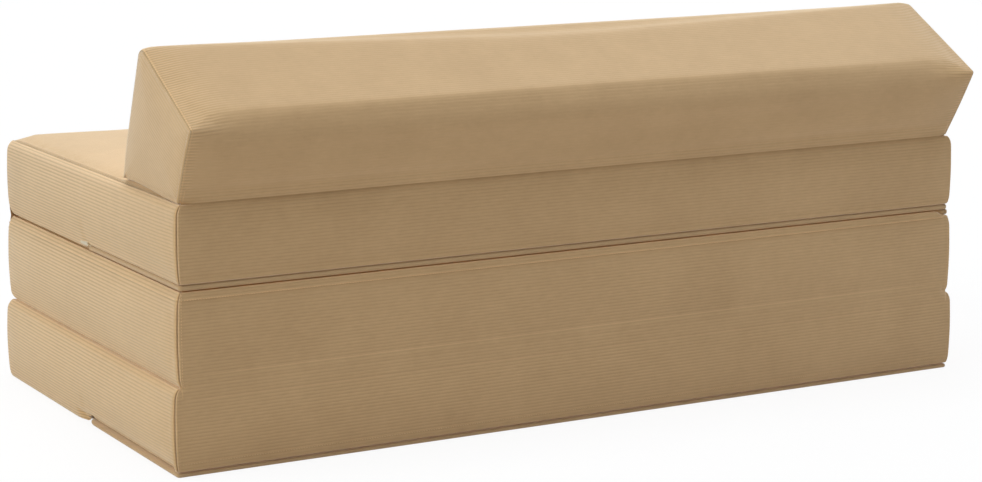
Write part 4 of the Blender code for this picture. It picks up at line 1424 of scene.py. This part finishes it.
def strip_shape(first, second, low, fold, high, rear, crease, cloth):
    """Strip of cover cloth along X that bridges a fold, flush with the cushions it is sewn to."""
    on_wedge = second == "backrest"
    half_width = SIDE - (STRIP_INSET_WEDGE if on_wedge else STRIP_INSET)
    side = 1.0 if rear else -1.0
    step = cloth.rib_pitch / SAMPLES_PER_RIB
    heights = np.linspace(low, high, max(8, round((high - low) / step)) + 1)
    ends = np.array([0.0, 0.4, 1.0, 2.0, 3.5, 5.5, 8.0, 11.0, 14.0, 18.0]) * MM
    inner = np.linspace(half_width - 28 * MM, -half_width + 28 * MM, 84)
    xs = np.concatenate((half_width - ends, inner, -half_width + ends[::-1]))
    shape = Shape()
    columns = []
    share = (heights - low) / (high - low)
    reach = heights - low
    edge = np.minimum(reach, reach[::-1])
    above_fold = heights - fold
    (foot_y, foot_z), (shoulder_y, shoulder_z) = BACKREST_POINTS[:2]
    slope = (shoulder_y - foot_y) / (shoulder_z - foot_z)
    fold_y = BACKREST_REAR + STRIP_PROUD
    for x in xs:
        start = side_surface(first, x, low, rear)
        if on_wedge:
            above = fold_y + above_fold * slope - 2.4 * MM * smooth(above_fold / (high - fold))
            above = above - 4 * MM * crispness(REST_SIDE - abs(x)) * smooth(above_fold / (8 * MM))
            line = np.where(heights < fold, start + (fold_y - start) * reach / (fold - low), above)
        else:
            line = start + (side_surface(second, x, high, rear) - start) * share
        near_end = smooth((abs(x) - half_width + 14 * MM) / (14 * MM))
        line = line - side * crease * hump(heights, fold, (1.3 if on_wedge else 2.2) * MM)
        line = line - side * 3.5 * MM * near_end * hump(heights, fold, 7.0 * MM)
        rim = min(1.0, (half_width - abs(x)) / (2.5 * MM))
        cover = smooth(edge / (8.0 * MM)) * rim
        outer = line + side * (STRIP_LIFT * cover - STRIP_SUNK)
        inside = line - side * STRIP_BACK
        points = np.column_stack((
            np.concatenate((outer, inside[::-1])), np.concatenate((heights, heights[::-1]))))
        seams = np.concatenate((np.minimum(edge, half_width - abs(x) + 1 * MM), np.zeros(len(heights))))
        ribs = np.concatenate((reach, np.zeros(len(heights))))
        columns.append(shape.add(np.column_stack((np.full(len(points), x), points)), ribs, seams))
    shape.grid(columns)
    shape.cap(columns[0])
    shape.cap(columns[-1][::-1])
    return shape


class SOFA_OT_sliders(bpy.types.Operator):
    """Give the zip sliders and their pulls their metal."""
    bl_idname = "sofa.sliders"
    bl_label = "Zip sliders"

    def execute(self, context):
        for prefix in (*SECTIONS, "backrest"):
            metal = "dark_cast_metal" if prefix == "base" else "light_cast_metal"
            for piece in ("zip_slider", "zip_pull"):
                node = frame["nodes"][f"{prefix}_{piece}"]
                node.data.materials.clear()
                node.data.materials.append(material(metal))
        return {"FINISHED"}


class SOFA_OT_studio(bpy.types.Operator):
    """Set up the floor, the light and the camera."""
    bl_idname = "sofa.studio"
    bl_label = "Studio"

    def execute(self, context):
        studio = context.scene.sofa_studio
        self.floor(studio)
        self.light(context, studio)
        self.camera(context, studio)
        context.scene.view_settings.view_transform = "Standard"
        return {"FINISHED"}

    def floor(self, studio):
        work = bmesh.new()
        bmesh.ops.create_grid(work, x_segments=8, y_segments=8, size=FLOOR_SIZE)
        mesh = bpy.data.meshes.new("studio_floor")
        work.to_mesh(mesh)
        work.free()
        paint, graph, shader = new_material("pale_floor")
        place = graph.out("ShaderNodeTexCoord", key="Object")
        speck = graph.noise(place, 3.0, 2.0)
        tint = graph.mix(speck, rgba(studio.floor, 0.99), rgba(studio.floor, 1.01))
        graph.tree.links.new(tint.output, shader.inputs["Base Color"])
        shader.inputs["Roughness"].default_value = 0.9
        shader.inputs["Specular IOR Level"].default_value = 0.1
        glow = graph.out("ShaderNodeEmission", None, {"Color": WHITE, "Strength": FLOOR_GLOW})
        ray = graph.node("ShaderNodeLightPath")
        seen = Socket(graph, ray.outputs["Is Camera Ray"])
        body = Socket(graph, shader.outputs[0])
        mixed = graph.out("ShaderNodeMixShader", None, {0: seen * FLOOR_GLOW_SHARE, 1: body, 2: glow})
        graph.tree.links.new(mixed.output, graph.tree.nodes["Material Output"].inputs["Surface"])
        new_object("studio_floor", mesh, paint, rounded=False)

    def light(self, context, studio):
        world = bpy.data.worlds.new("studio")
        context.scene.world = world
        world.use_nodes = True
        graph = Graph(world.node_tree)
        back = world.node_tree.nodes["Background"]
        ray = graph.node("ShaderNodeLightPath")
        seen = Socket(graph, ray.outputs["Is Camera Ray"])
        strength = seen * (1.0 - studio.ambient) + studio.ambient
        back.inputs["Color"].default_value = WHITE
        graph.tree.links.new(strength.output, back.inputs["Strength"])
        for name, heading, setting, width, colour in LAMPS:
            lamp = bpy.data.lights.new(name, "SUN")
            lamp.energy = getattr(studio, setting)
            lamp.angle = math.radians(width)
            lamp.color = colour
            lamp.use_shadow = name != "rim_lamp"
            holder = bpy.data.objects.new(name, lamp)
            context.scene.collection.objects.link(holder)
            holder.rotation_euler = Vector(heading).to_track_quat("Z", "Y").to_euler()
            holder.location = Vector(heading) * 3

    def camera(self, context, studio):
        lens = bpy.data.cameras.new("camera")
        lens.lens = studio.lens
        lens.sensor_width = 36.0
        lens.clip_end = 200.0
        holder = bpy.data.objects.new("camera", lens)
        context.scene.collection.objects.link(holder)
        holder.location = CAMERA_PLACE
        level = math.cos(CAMERA_PITCH)
        ahead = Vector((
            -math.sin(CAMERA_YAW) * level, -math.cos(CAMERA_YAW) * level, -math.sin(CAMERA_PITCH)))
        holder.rotation_euler = ahead.to_track_quat("-Z", "Y").to_euler()
        context.scene.camera = holder


class SOFA_PT_panel(bpy.types.Panel):
    """List the sofa bed's pieces and settings."""
    bl_idname = "SOFA_PT_panel"
    bl_label = "Sofa bed"
    bl_space_type = "VIEW_3D"
    bl_region_type = "UI"
    bl_category = "Sofa bed"

    def draw(self, context):
        for operator in OPERATORS:
            self.layout.operator(operator.bl_idname)
        for group in (context.scene.sofa_cloth, context.scene.sofa_trim, context.scene.sofa_studio):
            box = self.layout.box()
            for key in group.__annotations__:
                box.prop(group, key)


OPERATORS = (
    SOFA_OT_finishes, SOFA_OT_studio, SOFA_OT_sections, SOFA_OT_backrest, SOFA_OT_closing_panels,
    SOFA_OT_zips, SOFA_OT_hinges, SOFA_OT_sliders,
)
GROUPS = (("sofa_cloth", ClothSettings), ("sofa_trim", TrimSettings), ("sofa_studio", StudioSettings))


def register():
    for name, group in GROUPS:
        bpy.utils.register_class(group)
        setattr(bpy.types.Scene, name, bpy.props.PointerProperty(type=group))
    for kind in (*OPERATORS, SOFA_PT_panel):
        bpy.utils.register_class(kind)


def unregister():
    for kind in reversed((*OPERATORS, SOFA_PT_panel)):
        bpy.utils.unregister_class(kind)
    for name, group in reversed(GROUPS):
        delattr(bpy.types.Scene, name)
        bpy.utils.unregister_class(group)


def clear_start():
    """Remove what the start-up scene holds beside the frame."""
    for thing in list(bpy.data.objects):
        if thing.type in {"CAMERA", "LIGHT"} or thing.name == "Cube":
            bpy.data.objects.remove(thing)


def main():
    register()
    clear_start()
    for operator in OPERATORS:
        space, name = operator.bl_idname.split(".")
        getattr(getattr(bpy.ops, space), name)()


if __name__ == "__main__":
    main()
